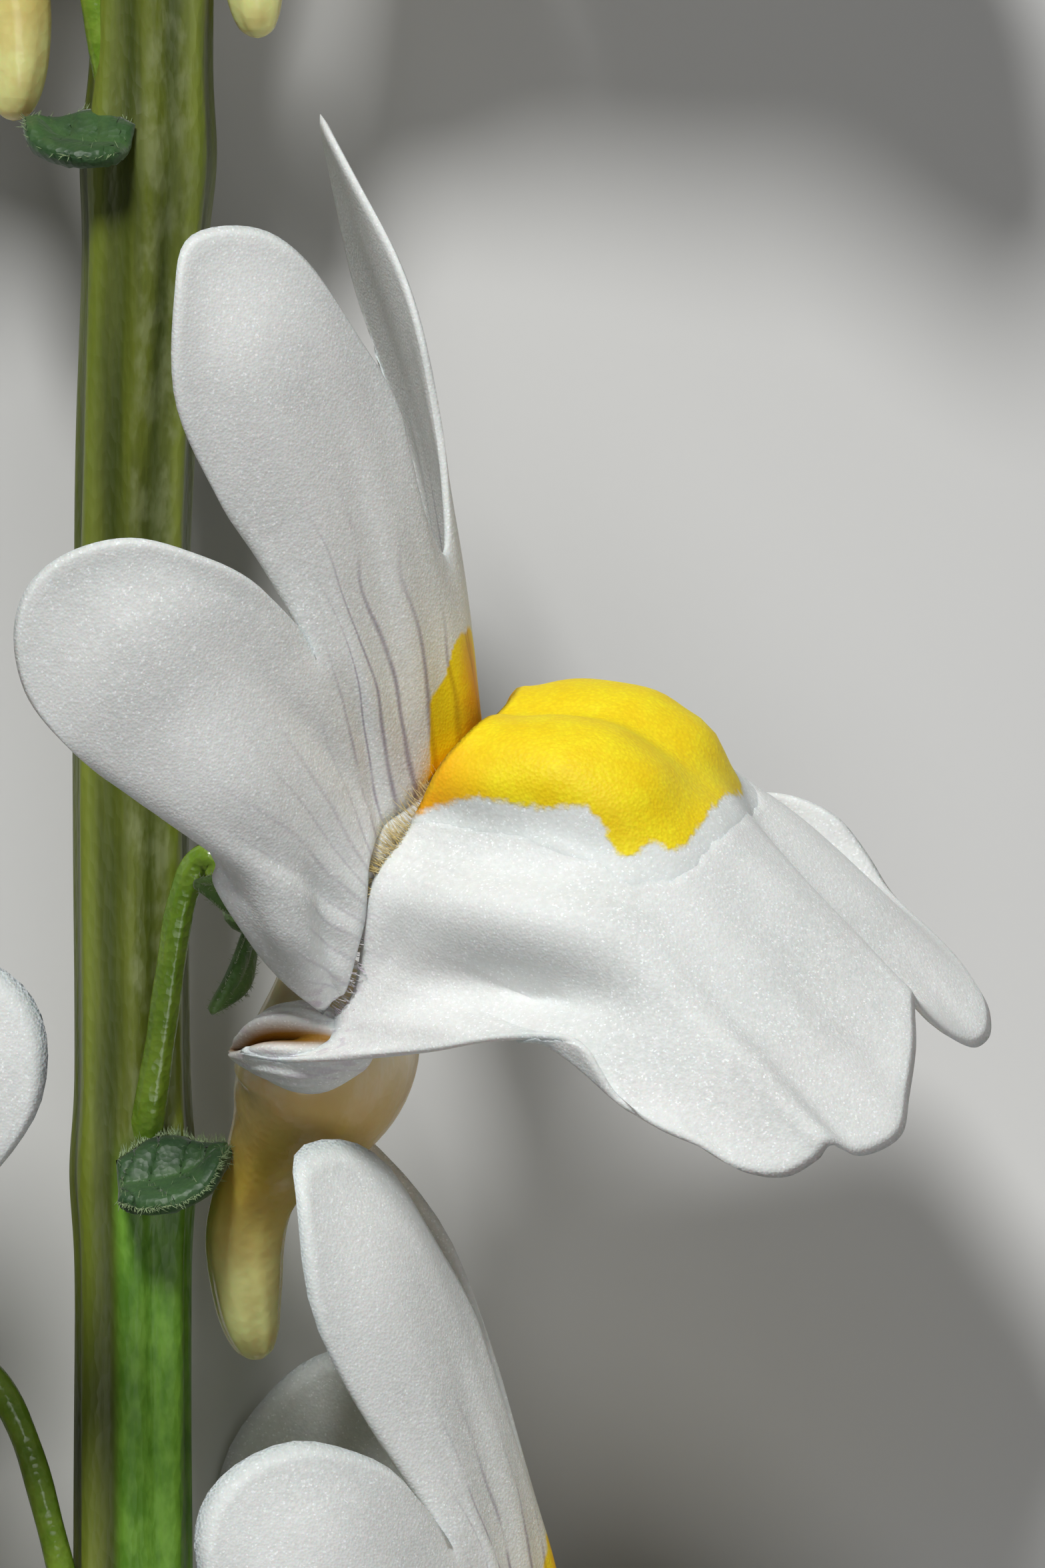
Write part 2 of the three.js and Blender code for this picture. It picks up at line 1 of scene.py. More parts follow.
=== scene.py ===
from math import cos, pi, radians, sin
import bpy
import numpy as np
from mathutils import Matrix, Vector


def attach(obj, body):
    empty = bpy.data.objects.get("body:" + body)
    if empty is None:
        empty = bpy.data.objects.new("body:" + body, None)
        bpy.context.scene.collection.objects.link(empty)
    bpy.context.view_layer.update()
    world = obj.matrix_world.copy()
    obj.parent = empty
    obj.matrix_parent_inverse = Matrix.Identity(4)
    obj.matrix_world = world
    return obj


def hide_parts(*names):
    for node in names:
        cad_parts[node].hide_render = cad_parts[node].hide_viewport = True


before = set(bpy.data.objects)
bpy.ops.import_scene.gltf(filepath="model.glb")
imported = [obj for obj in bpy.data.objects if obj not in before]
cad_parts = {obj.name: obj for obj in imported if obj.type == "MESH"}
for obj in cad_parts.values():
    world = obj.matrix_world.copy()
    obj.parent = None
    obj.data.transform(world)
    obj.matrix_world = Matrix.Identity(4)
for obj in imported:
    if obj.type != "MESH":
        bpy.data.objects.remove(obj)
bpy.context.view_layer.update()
scene = bpy.context.scene
millimetre = 0.001
join = np.concatenate

# The view's centre on the table, measured from the middle of the footprint, in millimetres
viewCentre = np.array([7.3277, 6.5781, 0])


# Rises smoothly from 0 at low to 1 at high, also where high is the smaller
def ease(x, low, high):
    t = np.clip((x - low) / (high - low), 0, 1)
    return t * t * (3 - 2 * t)


# A Catmull-Rom curve through the first axis of points, at the shares t of its length in points
def curve(points, t):
    p = np.asarray(points, float)
    ends = join([[2 * p[0] - p[1]], p, [2 * p[-1] - p[-2]]])
    x = np.clip(np.asarray(t, float), 0, 1) * (len(p) - 1)
    i = np.minimum(x.astype(int), len(p) - 2)
    w = (x - i).reshape((-1,) + (1,) * (p.ndim - 1))
    a, b, c, d = ends[i], ends[i + 1], ends[i + 2], ends[i + 3]
    m0, m1 = 0.5 * (c - a), 0.5 * (d - b)
    h = (2 * w**3 - 3 * w**2 + 1) * b + (w**3 - 2 * w**2 + w) * m0
    return h + (3 * w**2 - 2 * w**3) * c + (w**3 - w**2) * m1


# Shares from 0 to 1 down the rows and across the columns of a grid
def gridShares(along, across):
    return shares(along)[:, None], shares(across)[None, :]


def shares(count):
    return np.linspace(0, 1, count + 1)


def roundAngles(count):
    return np.linspace(0, 2 * np.pi, count, endpoint=False)


def unit(v):
    return v / np.maximum(np.linalg.norm(v, axis=-1, keepdims=True), 1e-9)


# The direction in which a curve runs at the shares t
def heading(points, t):
    return unit(curve(points, t + 1e-3) - curve(points, t - 1e-3))


def gridNormals(p):
    return unit(np.cross(np.gradient(p, axis=0), np.gradient(p, axis=1)))


# A piece: points in mm, faces, and marks that its material reads, a value for every point
def blank(verts, quads, tris=None, **marks):
    tris = np.zeros((0, 3), int) if tris is None else tris
    return {"verts": verts, "quads": quads, "tris": tris, "marks": marks}


# The four-sided faces of a grid of point numbers, and the order of their corners seen from behind
def gridQuads(ids):
    return np.stack([ids[:-1, :-1], ids[1:, :-1], ids[1:, 1:], ids[:-1, 1:]], -1).reshape(-1, 4)


flipped = [0, 3, 2, 1]


def closedRound(ids):
    return join([ids, ids[:, :1]], 1)


# A closed sheet round a grid of points: half the thickness to each side, rounded off at all four edges
def pillow(p, thickness, edge=0.25, **marks):
    rows, cols = p.shape[:2]
    n = gridNormals(p)
    reach = [np.cumsum(np.linalg.norm(np.diff(p, axis=k), axis=-1), axis=k) for k in (0, 1)]
    along = join([np.zeros((1, cols)), reach[0]])
    across = join([np.zeros((rows, 1)), reach[1]], axis=1)
    rim = np.minimum(np.minimum(along, along[-1:] - along), np.minimum(across, across[:, -1:] - across))
    share = np.clip(rim / edge, 0, 1)
    half = thickness / 2 * np.sqrt(share * (2 - share))[..., None]
    top = np.arange(rows * cols).reshape(rows, cols)
    inner = np.zeros((rows, cols), bool)
    inner[1:-1, 1:-1] = True
    under = top.copy()
    under[inner] = rows * cols + np.arange(inner.sum())
    verts = join([(p + n * half).reshape(-1, 3), (p - n * half)[inner]])
    both = {k: join([v.ravel(), v[inner]]) for k, v in marks.items()}
    return blank(verts, join([gridQuads(top), gridQuads(under)[:, flipped]]), **both)


# A round body from rings of points, each end closed on its middle
def lathe(rings, **marks):
    rows, cols = rings.shape[:2]
    verts = join([rings.reshape(-1, 3), rings[:1].mean(1), rings[-1:].mean(1)])
    ids = np.arange(rows * cols).reshape(rows, cols)
    nxt = np.roll(ids, -1, axis=1)
    first, last = rows * cols, rows * cols + 1
    tris = join([
        np.stack([ids[0], nxt[0], np.full(cols, first)], -1),
        np.stack([nxt[-1], ids[-1], np.full(cols, last)], -1)])
    full = {k: join([v.ravel(), [v[0].mean(), v[-1].mean()]]) for k, v in marks.items()}
    return blank(verts, gridQuads(closedRound(ids)), tris, **full)


# Points beside a path at the shares t of its length: x to the side given and y up
def besidePath(path, t, sideways, x, y):
    s = np.array(sideways, float)
    forward = heading(path, t)
    across = unit(s - forward * (forward @ s)[:, None])
    up = np.cross(across, forward)
    return curve(path, t)[:, None] + across[:, None] * x[..., None] + up[:, None] * y[..., None]


# Rings of an oval section along a path; a relief gives mm for the share along and the angle round
def ovalRings(path, wide, deep, steps, sides, sideways=(0, 0, 1), relief=None, ends=0.06):
    t = shares(steps)
    t = t - np.sin(2 * np.pi * t) / (2 * np.pi) * 0.7
    angle = roundAngles(sides)
    share = np.clip(np.minimum(t, 1 - t) / ends, 0, 1)
    cap = np.sqrt(share * (2 - share))
    w = np.maximum(curve(wide, t), 0.01) * cap
    d = np.maximum(curve(deep, t), 0.01) * cap
    extra = 0 if relief is None else relief(t[:, None], angle[None, :]) * cap[:, None]
    x = (w[:, None] + extra) * np.cos(angle)
    y = (d[:, None] + extra) * np.sin(angle)
    return besidePath(path, t, sideways, x, y)


# Fine tapered hairs, three-sided and curved, from roots in the given directions
def hairs(roots, directions, lengths, radius, bend=0.3, down=(0, 0, -1), segments=4):
    k = len(roots)
    d = unit(directions)
    t = shares(segments)
    lengths = np.broadcast_to(lengths, k)
    sag = np.array(down, float) * bend
    bowed = d[:, None] * t[None, :, None] + sag * (t**2)[None, :, None]
    mid = roots[:, None] + bowed * lengths[:, None, None]
    a = unit(np.cross(d, np.array([0.31, 0.57, 0.76])))
    b = np.cross(d, a)
    turn = np.arange(3) * 2 * np.pi / 3
    size = (radius * (1 - 0.85 * t[:-1]))[None, :, None, None]
    ring = a[:, None, None] * np.cos(turn)[:, None] + b[:, None, None] * np.sin(turn)[:, None]
    body = mid[:, :-1, None] + ring * size
    verts = join([body.reshape(k, -1, 3), mid[:, -1:]], 1)
    per = 3 * segments + 1
    base = (np.arange(k) * per)[:, None]
    quads = gridQuads(closedRound(np.arange(3 * segments).reshape(-1, 3)))[:, flipped]
    top = 3 * (segments - 1)
    tip = per - 1
    tris = np.array([[top, top + 1, tip], [top + 1, top + 2, tip], [top + 2, top, tip], [0, 2, 1]])
    return blank(verts.reshape(-1, 3), (quads[None] + base[..., None]).reshape(-1, 4),
                 (tris[None] + base[..., None]).reshape(-1, 3))


# Several pieces as one; a mark that a piece lacks is 0 there
def merge(*pieces):
    names = sorted({k for p in pieces for k in p["marks"]})
    start = np.cumsum([0] + [len(p["verts"]) for p in pieces[:-1]])
    marks = {n: join([p["marks"].get(n, np.zeros(len(p["verts"]))) for p in pieces]) for n in names}
    return blank(join([p["verts"] for p in pieces]),
                 join([p["quads"] + s for p, s in zip(pieces, start)]),
                 join([p["tris"] + s for p, s in zip(pieces, start)]), **marks)


# A piece turned, scaled and moved; mirrored faces are turned about
def placed(piece, matrix, offset):
    verts = piece["verts"] @ matrix.T + offset
    flip = np.linalg.det(matrix) < 0
    turn = (lambda f: f[:, ::-1]) if flip else (lambda f: f)
    return blank(verts, turn(piece["quads"]), turn(piece["tris"]), **piece["marks"])


def addObject(name, data):
    obj = bpy.data.objects.new(name, data)
    scene.collection.objects.link(obj)
    return obj


# Puts a piece into the scene: millimetres from the view's centre become metres in the row frame
def build(name, piece, material, replaced=()):
    mesh = bpy.data.meshes.new(name)
    verts = (piece["verts"] + viewCentre) * millimetre
    mesh.vertices.add(len(verts))
    mesh.vertices.foreach_set("co", verts.astype(np.float32).ravel())
    loops = join([piece["quads"].ravel(), piece["tris"].ravel()])
    mesh.loops.add(len(loops))
    mesh.loops.foreach_set("vertex_index", loops.astype(np.int32))
    total = join([np.full(len(piece["quads"]), 4), np.full(len(piece["tris"]), 3)])
    mesh.polygons.add(len(total))
    mesh.polygons.foreach_set("loop_start", join([[0], np.cumsum(total)[:-1]]).astype(np.int32))
    mesh.polygons.foreach_set("use_smooth", np.ones(len(total), bool))
    mesh.update(calc_edges=True)
    for key, values in piece["marks"].items():
        layer = mesh.attributes.new(key, "FLOAT", "POINT")
        layer.data.foreach_set("value", values.astype(np.float32))
    mesh.materials.append(material)
    obj = addObject(name, mesh)
    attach(obj, "root")
    if replaced:
        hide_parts(*replaced)


# The main bloom's turn and lean
viewTurn, viewLean = radians(20), radians(17)


# How far a point's height and side move it across the side view
def sideSwing(y, side):
    return sin(viewLean) * sin(viewTurn) * y + cos(viewLean) * sin(viewTurn) * side


# A point of the bloom from where it is seen in the side view and how far it stands to the side
def seen(rows):
    right, up, side = np.asarray(rows, float).T
    y = (up + sin(viewLean) * side) / cos(viewLean)
    return np.stack([(right + sideSwing(y, side)) / cos(viewTurn), y, side], -1)


# The other way: how far right and up a point of either half is seen, as if it were on the near half
def seenFrom(p):
    x, y, side = p[..., 0], p[..., 1], np.abs(p[..., 2])
    right = cos(viewTurn) * x - sideSwing(y, side)
    return right, cos(viewLean) * y - sin(viewLean) * side


# How far a seen point lies above a line of points given as [right, up]
def aboveLine(right, up, line):
    return up - np.interp(right, *np.array(line).T)


# The lips' lines on the near half: right and up as they are seen in the side view, and the side, in mm
upperMargin = [
    [1.15, -1.95, 3], [0.15, -1.1, 3.8], [-0.45, -0.3, 4.4], [-0.9, 0.5, 4.7],
    [-0.85, 0.95, 4.7], [-1.2, 1.55, 5], [-1.95, 2.15, 5.5], [-2.9, 2.5, 5.9],
    [-3.8, 3.25, 6.2], [-4.4, 4.1, 6.3], [-4.6, 5.2, 6.3], [-4.3, 6.1, 6.2],
    [-3.5, 6.7, 6], [-2.35, 6.95, 5.6], [-1.15, 6.65, 5], [-0.15, 6.15, 4.3],
    [0.85, 5.2, 3.3], [-0.1, 6.7, 3.7], [-0.9, 7.9, 4.2], [-1.6, 9.55, 4.6],
    [-1.6, 11.45, 4.4], [-1.3, 12.55, 3.8], [-0.15, 12.75, 2.9], [0.8, 12.2, 2.3],
    [1.75, 10.8, 1.5], [2.5, 9.55, 0.95], [2.85, 8, 0.75], [3.45, 6.7, 0]]
upperMiddle = [
    [1.3, -1.8, 3.05], [0.5, -0.65, 4.2], [0.1, 0.45, 4.7], [-1, 1.9, 5.4], [-0.5, 3.45, 5],
    [1, 3.7, 3.6], [1.2, 5.4, 3.1], [1.1, 7.55, 3.1], [2.75, 6.45, 1.5], [3.8, 5.05, 0]]
upperMouth = [
    [1.4, -1.7, 3], [1.6, -1.55, 3.1], [1.8, -0.8, 3.1], [1.95, -0.2, 3], [2, 0.4, 2.9],
    [2.05, 0.95, 2.7], [2.25, 1.45, 2.3], [2.75, 1.95, 1.8], [3.35, 2.7, 1], [4.05, 3.4, 0]]
lowerMargin = [
    [-0.4, -2.7, 3.2], [0.35, -2.85, 3.5], [1.35, -2.8, 3.9], [2.35, -2.7, 4.3], [3.35, -2.6, 4.7],
    [4.35, -2.45, 5], [5.35, -2.4, 5.2], [6.05, -2.5, 5.3], [6.4, -2.95, 5.4], [6.75, -3.55, 5.5],
    [7.35, -4.05, 5.6], [8.25, -4.45, 5.6], [9, -4.85, 5.5], [9.8, -4.95, 5.2], [10.4, -4.65, 4.8],
    [10.65, -4.4, 4.6], [11.1, -4.6, 4], [11.65, -4.45, 3.4], [12.05, -4.1, 2.8], [12.15, -3.45, 1.9],
    [12.25, -2.65, 1.1], [12.25, -1.95, 0.4], [12.3, -1.65, 0]]
lowerMiddle = [
    [-0.4, -2.65, 3.2], [0.9, -2.7, 3.4], [2.35, -2.4, 3.9], [3.5, -1.95, 4.3], [4.1, -1.7, 4.4],
    [4.5, -1.4, 4.4], [5.2, -1.05, 4.3], [6.1, -0.7, 4], [6.85, -0.2, 3.3], [7.5, 0.45, 2.4],
    [7.85, 1.2, 1.3], [8.1, 1.95, 0]]
lowerMouth = [
    [-0.35, -2.6, 3.1], [0.5, -2.55, 2.9], [1.15, -2.25, 2.8], [1.6, -1.7, 2.9], [1.8, -0.95, 2.9],
    [1.95, -0.1, 2.8], [2.15, 0.6, 2.6], [2.5, 1.2, 2.3], [3, 1.8, 1.9], [3.5, 2.25, 1.5],
    [4, 2.55, 0.9], [4.3, 2.7, 0]]


# The far halves mirror the near ones, with the lobe leant back and the wing lifted
def farUpper(p):
    tip = np.clip((p[:, 1] - 8.5) / 5.5, 0, 1)
    lobe = ease(p[:, 1], 6, 9)
    return np.stack([p[:, 0] + 0.2 * lobe * p[:, 2] - 1.1 * tip**2, p[:, 1] + 0.45 * tip, -p[:, 2]], -1)


def farLower(p):
    lift = 2.5 * np.exp(-(((p[:, 0] - 9.5) / 2.3) ** 2)) * (p[:, 2] / 5.6) ** 2
    return np.stack([p[:, 0], p[:, 1] + lift, -p[:, 2]], -1)


# The far halves where the side view shows them: the upper lobe edge on, and the lower lip's notch and wing
farUpperMargin = [
    [3.35, 8.7, -0.7], [2.95, 10.8, -1], [2.48, 12.35, -1.6], [1.8, 13.75, -2.3], [1.28, 14.7, -3],
    [1.06, 14.95, -3.7], [1.2, 14.1, -4.3], [1.62, 12.3, -4.6], [2.15, 10.6, -4.2], [2.5, 9.2, -3.7]]
farUpperMiddle = [[3.55, 7.3, -1.5], [2.85, 9.4, -3]]
farLowerMargin = [
    [12.45, -1.85, -0.5], [12.76, -2.25, -1.3], [13.1, -2.55, -2.1], [13.45, -2.62, -2.9],
    [13.75, -2.35, -3.5], [13.74, -1.85, -4.1], [13.45, -1.4, -4.6], [13, -0.9, -5],
    [12.4, -0.25, -5.3], [11.85, 0.4, -5.5], [11.4, 1.1, -5.6], [10.85, 1.75, -5.6],
    [10.1, 2.12, -5.5], [9.45, 2.2, -5.3], [9.1, 1.95, -5.25]]


# A lip: curves through both halves of the mouth, the middle and the margin, joined by rays across them
def lipGrid(levels, far, farRows, along, across):
    u, v = shares(along), shares(across)
    rows = []
    for level, known in zip(levels, farRows):
        near = seen(level)
        other = far(near[:-1][::-1])
        if known:
            other = join([seen(known), other[len(known):]])
        rows.append(curve(join([near, other]), u))
    return np.swapaxes(curve(np.stack(rows), v), 0, 1)


# The outward side of a lip's grid: the one that looks away from the middle plane
def outward(p):
    n = gridNormals(p)
    half = n[: len(p) // 2, :, 2]
    return n if half.mean() > 0 else -n


# Soft dents and swellings: bells at [right, up, long radius, short radius, turn in degrees, height in mm]
def bells(right, up, marks):
    total = np.zeros(right.shape)
    for middle, level, long, short, turn, height in marks:
        a = radians(turn)
        x, y = right - middle, up - level
        s, t = x * cos(a) + y * sin(a), -x * sin(a) + y * cos(a)
        total += height * np.exp(-((s / long) ** 2) - (t / short) ** 2)
    return total


# Bosses of the palate: their spines either side of the middle, with half heights and half widths along them
boss = {
    "side": 1.15,
    "spine": [[4.1, 2.3], [4.7, 2.75], [5.7, 3], [6.8, 2.95], [7.7, 2.5], [8.1, 1.9], [8.15, 1.45]],
    "deep": [0.25, 0.62, 0.92, 1.05, 1.12, 0.98, 0.45], "wide": [0.3, 0.95, 1.35, 1.5, 1.5, 1.3, 0.5],
    "border": [
        [2.9, 1.75], [3.5, 1.99], [4.04, 2.08], [4.66, 1.99], [5.38, 1.89], [6.09, 1.94], [6.44, 1.49],
        [6.61, 1.14], [6.93, 0.94], [7.33, 1.28], [7.6, 1.05], [7.9, 1.1], [8.5, 1.9], [9, 2.4]],
    "skinLine": [
        [2.9, 1.3], [4, 1.6], [5.4, 1.4], [6.2, 1], [6.9, 0.5], [7.6, 0.55], [8.5, 1.4], [9, 1.9]]}


# How yellow a point of the palate is: 1 well above the border line, 0 below it
def yellowAt(right, up):
    return ease(aboveLine(right, up, boss["border"]), -0.22, 0.3)


# How far inside the palate's own skin a point of the lip lies: on the swelling, down to an even line that
# runs a little below the yellow
def capShare(p, n, rise):
    above = aboveLine(*seenFrom(p + n * rise[..., None]), boss["skinLine"])
    return ease(rise, 0, 0.3) * ease(above, -0.6, 0.6)


# A field of heights evened out between neighbours
def blurred(field, rounds):
    for _ in range(rounds):
        for axis in (0, 1):
            moved = np.swapaxes(field, 0, axis)
            full = join([moved[:1], moved, moved[-1:]])
            field = np.swapaxes((full[:-2] + 2 * full[1:-1] + full[2:]) / 4, 0, axis)
    return field


# How far a lip's point must rise along its normal to leave both bosses: the far root of the normal's line
# through ovals set along each spine, softened over the neighbours, with a low skirt round the foot
def bossRise(p, n, rounds, skirtRounds):
    rise = np.zeros(p.shape[:2])
    t = np.linspace(0, 1, 36)
    line, deep, wide = curve(boss["spine"], t), curve(boss["deep"], t), curve(boss["wide"], t)
    for hand in (1, -1):
        for (x, y), d, w in zip(line, deep, wide):
            scale = 1 / np.array([d, d, w])
            q, m = (p - [x, y, hand * boss["side"]]) * scale, n * scale
            a, b, c = (m * m).sum(-1), (q * m).sum(-1), (q * q).sum(-1) - 1
            root = b * b - a * c
            rise = np.maximum(rise, np.where(root > 0, (-b + np.sqrt(np.maximum(root, 0))) / a, 0))
    rise = np.clip(rise, 0, 2.4) * ease(seenFrom(p)[1], -1, -0.4)
    return blurred(np.maximum(rise, blurred(rise, skirtRounds)), rounds)


print("outlines and the helpers of surfaces ready")


# Petals are thinner than the solids' ones
petalLook = {"thickness": 0.15}
# Upper lip: the rays' grid, raised along its normals by soft bells and a low ripple at the margin
upperRelief = [
    [-2.2, 4.9, 1.9, 1.3, 60, 0.3], [-0.6, 2.2, 1.6, 1, -50, 0.22], [0.1, 10.3, 2.2, 1.1, 100, 0.25],
    [1.2, -0.6, 1.3, 0.28, -80, -0.2], [0.6, -0.3, 1.5, 0.5, -75, 0.2], [1.9, 4.2, 1.8, 0.35, 120, 0.16],
    [1.2, 3, 1.5, 0.3, 130, -0.14], [2.6, 5.6, 2.2, 0.3, 105, 0.1], [2.2, 6.4, 2.2, 0.25, 105, -0.1]]


# The upper edge of the yellow patch, as it is seen
patchTop = [[2.9, 4], [3.2, 4.1], [3.42, 4.4], [3.55, 5], [3.68, 5.2], [4.2, 5.15]]


def upperLip(along, across):
    p = lipGrid([upperMouth, upperMiddle, upperMargin], farUpper, [None, farUpperMiddle, farUpperMargin],
                along, across)
    n = outward(p)
    right, up = seenFrom(p)
    u, v = gridShares(along, across)
    lift = bells(right, up, upperRelief) * ease(p[..., 2], -2, 0.5) * ease(v, 1, 0.78)
    lift = lift + 0.035 * np.sin(2 * np.pi * 17 * u) * (1 - v) ** 2 * ease(v, 0, 0.1)
    lift = lift + 0.05 * np.sin(2 * np.pi * 11 * u + 2.2) * ease(v, 0.85, 1)
    p = p + n * lift[..., None]
    near = np.minimum(u, 1 - u)
    veins = (0.35 + 0.65 * ease(near, 0.25, 0.36)) * ease(v, 0.62, 0.2) * np.ones_like(lift)
    patch = ease(-aboveLine(right, up, patchTop), -0.14, 0.14) * ease(right, 3, 3.16)
    warm = ease(right, 3.4, 4)
    corner = np.exp(-((np.hypot(right - 1.3, up + 1.75) / 0.4) ** 2))
    return pillow(p, petalLook["thickness"], veins=veins, patch=patch, warm=warm,
                  tint=corner, ray=near + 0 * v, reach=v + 0 * u, rim=ease(v, 0.8, 1) + 0 * u)


# Lower lip: the rays' grid with a shoulder, a hollow under it, a rolled rim and ridges to the lobes
lowerRelief = [
    [4.5, -0.1, 2, 0.6, -12, 0.42], [4.75, -1.5, 1.6, 0.62, -4, -0.95], [6.9, -0.7, 1.9, 0.8, -44, 0.26],
    [3.3, -2.2, 2.4, 0.28, -1, 0.1], [9.3, -3.2, 1.3, 0.9, -30, 0.12], [11.4, -1.6, 1.3, 0.5, -60, 0.08],
    [2.3, -0.9, 0.9, 0.3, 60, -0.15], [9.6, 0.3, 2.2, 0.35, -38, 0.14]]


def lowerLipShape(along, across):
    levels = [lowerMouth, lowerMiddle, lowerMargin]
    p = lipGrid(levels, farLower, [None, None, farLowerMargin], along, across)
    valley = 0.75 * np.exp(-(((p[..., 2] + 1.75) / 0.85) ** 2)) * ease(p[..., 0], 7.9, 9.2)
    p[..., 1] -= valley * ease(p[..., 0], 12.6, 11.2)
    n = outward(p)
    right, up = seenFrom(p)
    near = ease(p[..., 2], -0.6, 0.6)
    u, v = gridShares(along, across)
    lift = bells(right, up, lowerRelief) * (0.1 + 0.9 * near) * ease(v, 1, 0.78)
    lift = lift + 0.05 * np.sin(2 * np.pi * 9 * u + 0.6) * ease(v, 0.85, 1)
    p = p + n * lift[..., None]
    n = outward(p)
    return p, n, bossRise(p, n, max(2, along // 60), across * across // 26)


# The lip, raised over the bosses and sunk where the palate's own skin covers it
def lowerLip(along, across):
    p, n, rise = lowerLipShape(along, across)
    p = p + n * (rise - 0.2 * ease(capShare(p, n, rise), 0.35, 0.75))[..., None]
    right, up = seenFrom(p)
    u, v = gridShares(along, across)
    corner = np.exp(-((np.hypot((right - 0.6) / 1.1, (up + 2.45) / 0.35)) ** 2))
    edge = ease(v, 0.12, 0) * ease(up, 0.8, -0.4) * 0.35
    veins = 0.1 * ease(v, 0.4, 0.1) + 0 * u
    return pillow(p, petalLook["thickness"], tint=np.maximum(corner, edge), veins=veins,
                  ray=np.minimum(u, 1 - u) + 0 * v, reach=v + 0 * u, rim=ease(v, 0.85, 1) + 0 * u)


# The throat's tube and the pouch of pale tissue at the mouth's corner: half heights and widths along a line
throat = {
    "path": [[0.45, 0, 0], [0.95, 0.25, 0], [1.7, 0.75, 0], [2.6, 1.2, 0], [3.2, 1.2, 0], [3.5, 1.05, 0]],
    "deep": [0.42, 0.95, 1.68, 2.25, 2.2, 1.6], "wide": [0.47, 1.33, 2.3, 2.75, 2.65, 2]}
pouch = {
    "path": [[-0.44, -2.62, 2], [-0.1, -2.6, 2.3], [0.4, -2.55, 2.6], [1.1, -2.6, 2.75], [2.1, -2.6, 2.8]],
    "deep": [0.1, 0.4, 0.78, 0.85, 0.3], "wide": [0.3, 0.55, 0.75, 0.75, 0.3], "slitAngle": 0.55,
    "slitDepth": 0.5}


def fromSlit(a):
    return np.angle(np.exp(1j * (a - pouch["slitAngle"])))


# A slit opens along the pouch's outer face between two low folds
def pouchRelief(t, a):
    turn = fromSlit(a)
    parted = ease(t, 0.06, 0.2) * ease(t, 0.85, 0.6)
    folds = 0.08 * np.exp(-(((np.abs(turn) - 0.35) / 0.2) ** 2))
    gap = pouch["slitDepth"] * np.exp(-((turn / 0.16) ** 2))
    return parted * (folds - gap) + 0.015 * np.sin(19 * a + 5 * t)


def corolla(detail):
    steps, sides = detail["tube"]
    tube = ovalRings(throat["path"], throat["wide"], throat["deep"], steps, sides)
    right = seenFrom(tube)[0]
    # The throat's inner face behind the mouth: its own amber, painted dark brown through the deep mark as
    # the shade inside the throat
    golden = ease(right, 1.9, 2.5) * ease(tube[..., 1], 0.8, 1.4) * ease(tube[..., 0], 3.45, 3.2)
    back = ease(right, 2.2, 1.6)
    turnShare = np.linspace(0, 1, sides)[None, :] + 0 * back
    sack = ovalRings(seen(pouch["path"]), pouch["wide"], pouch["deep"], steps, sides * 2, relief=pouchRelief)
    turn = fromSlit(roundAngles(sides * 2))
    # The pouch's slit: painted dark brown through the deep mark as the shade inside the opening, and kept
    # clear of the violet tint
    slit = np.exp(-((turn / 0.2) ** 2))[None, :] * np.sin(np.pi * shares(steps))[:, None]
    return merge(
        upperLip(*detail["lip"]), lowerLip(*detail["lip"]),
        lathe(tube, tube=back, deep=golden, veins=0.3 * back, ray=turnShare, reach=0 * back),
        lathe(sack, tint=0.4 * (1 - slit), deep=np.minimum(1.5 * slit, 1)))


# Palate: the lip's own grid laid over both bosses, on oval rings that close the bosses towards the throat
def palate(detail):
    halves = []
    for hand in (1, -1):
        path = [[x, y - 0.05, hand * boss["side"]] for x, y in boss["spine"]]
        deep, wide = np.array(boss["deep"]) * 0.92, np.array(boss["wide"]) * 0.94
        rings = ovalRings(path, wide, deep, *detail["boss"], ends=0.1)
        above = ease(np.sin(roundAngles(rings.shape[1])), -0.2, 0.2)[None, :]
        above = above * ease(np.linspace(0, 1, len(rings)), 0.75, 0.55)[:, None]
        place = seenFrom(rings)
        halves.append(lathe(rings, yellow=yellowAt(*place) * above, orange=orangeAt(*place)))
    p, n, rise = lowerLipShape(*detail["lip"])
    rows, cols = p.shape[0], int(p.shape[1] * 0.82)
    part = (slice(int(rows * 0.22), int(rows * 0.78)), slice(0, cols))
    p, n, rise = p[part], n[part], rise[part]
    shown = ease(capShare(p, n, rise), 0, 0.25)
    skin = p + n * (rise + 0.07 * shown - 0.04)[..., None]
    right, up = seenFrom(skin)
    skin = skin + n * (0.03 * np.sin(3.1 * right) * np.sin(4.3 * up) * shown)[..., None]
    cap = pillow(skin, 0.1, edge=0.1, yellow=yellowAt(right, up), orange=orangeAt(right, up))
    return merge(cap, *halves)


# How orange the palate is: 1 at its upper left end
def orangeAt(right, up):
    return 1 - ease(right + 0.3 * up, 3.7, 5.4)


# Spur: oval rings along the funnel's line, with low folds that run down it
spur = {
    "path": [
        [0.85, -0.5], [0.95, -1.1], [1.08, -1.8], [1.2, -2.5], [1.15, -3.1], [0.75, -3.85], [0.25, -4.6],
        [-0.15, -5.45], [-0.35, -6.35], [-0.32, -7.3], [-0.2, -8.05], [-0.13, -8.55]],
    "deep": [0.4, 0.65, 1.15, 1.55, 1.6, 1.4, 0.95, 0.77, 0.73, 0.65, 0.5, 0.25],
    "wide": [0.4, 1, 1.9, 2.6, 2.5, 1.9, 1.25, 0.9, 0.78, 0.66, 0.5, 0.25]}


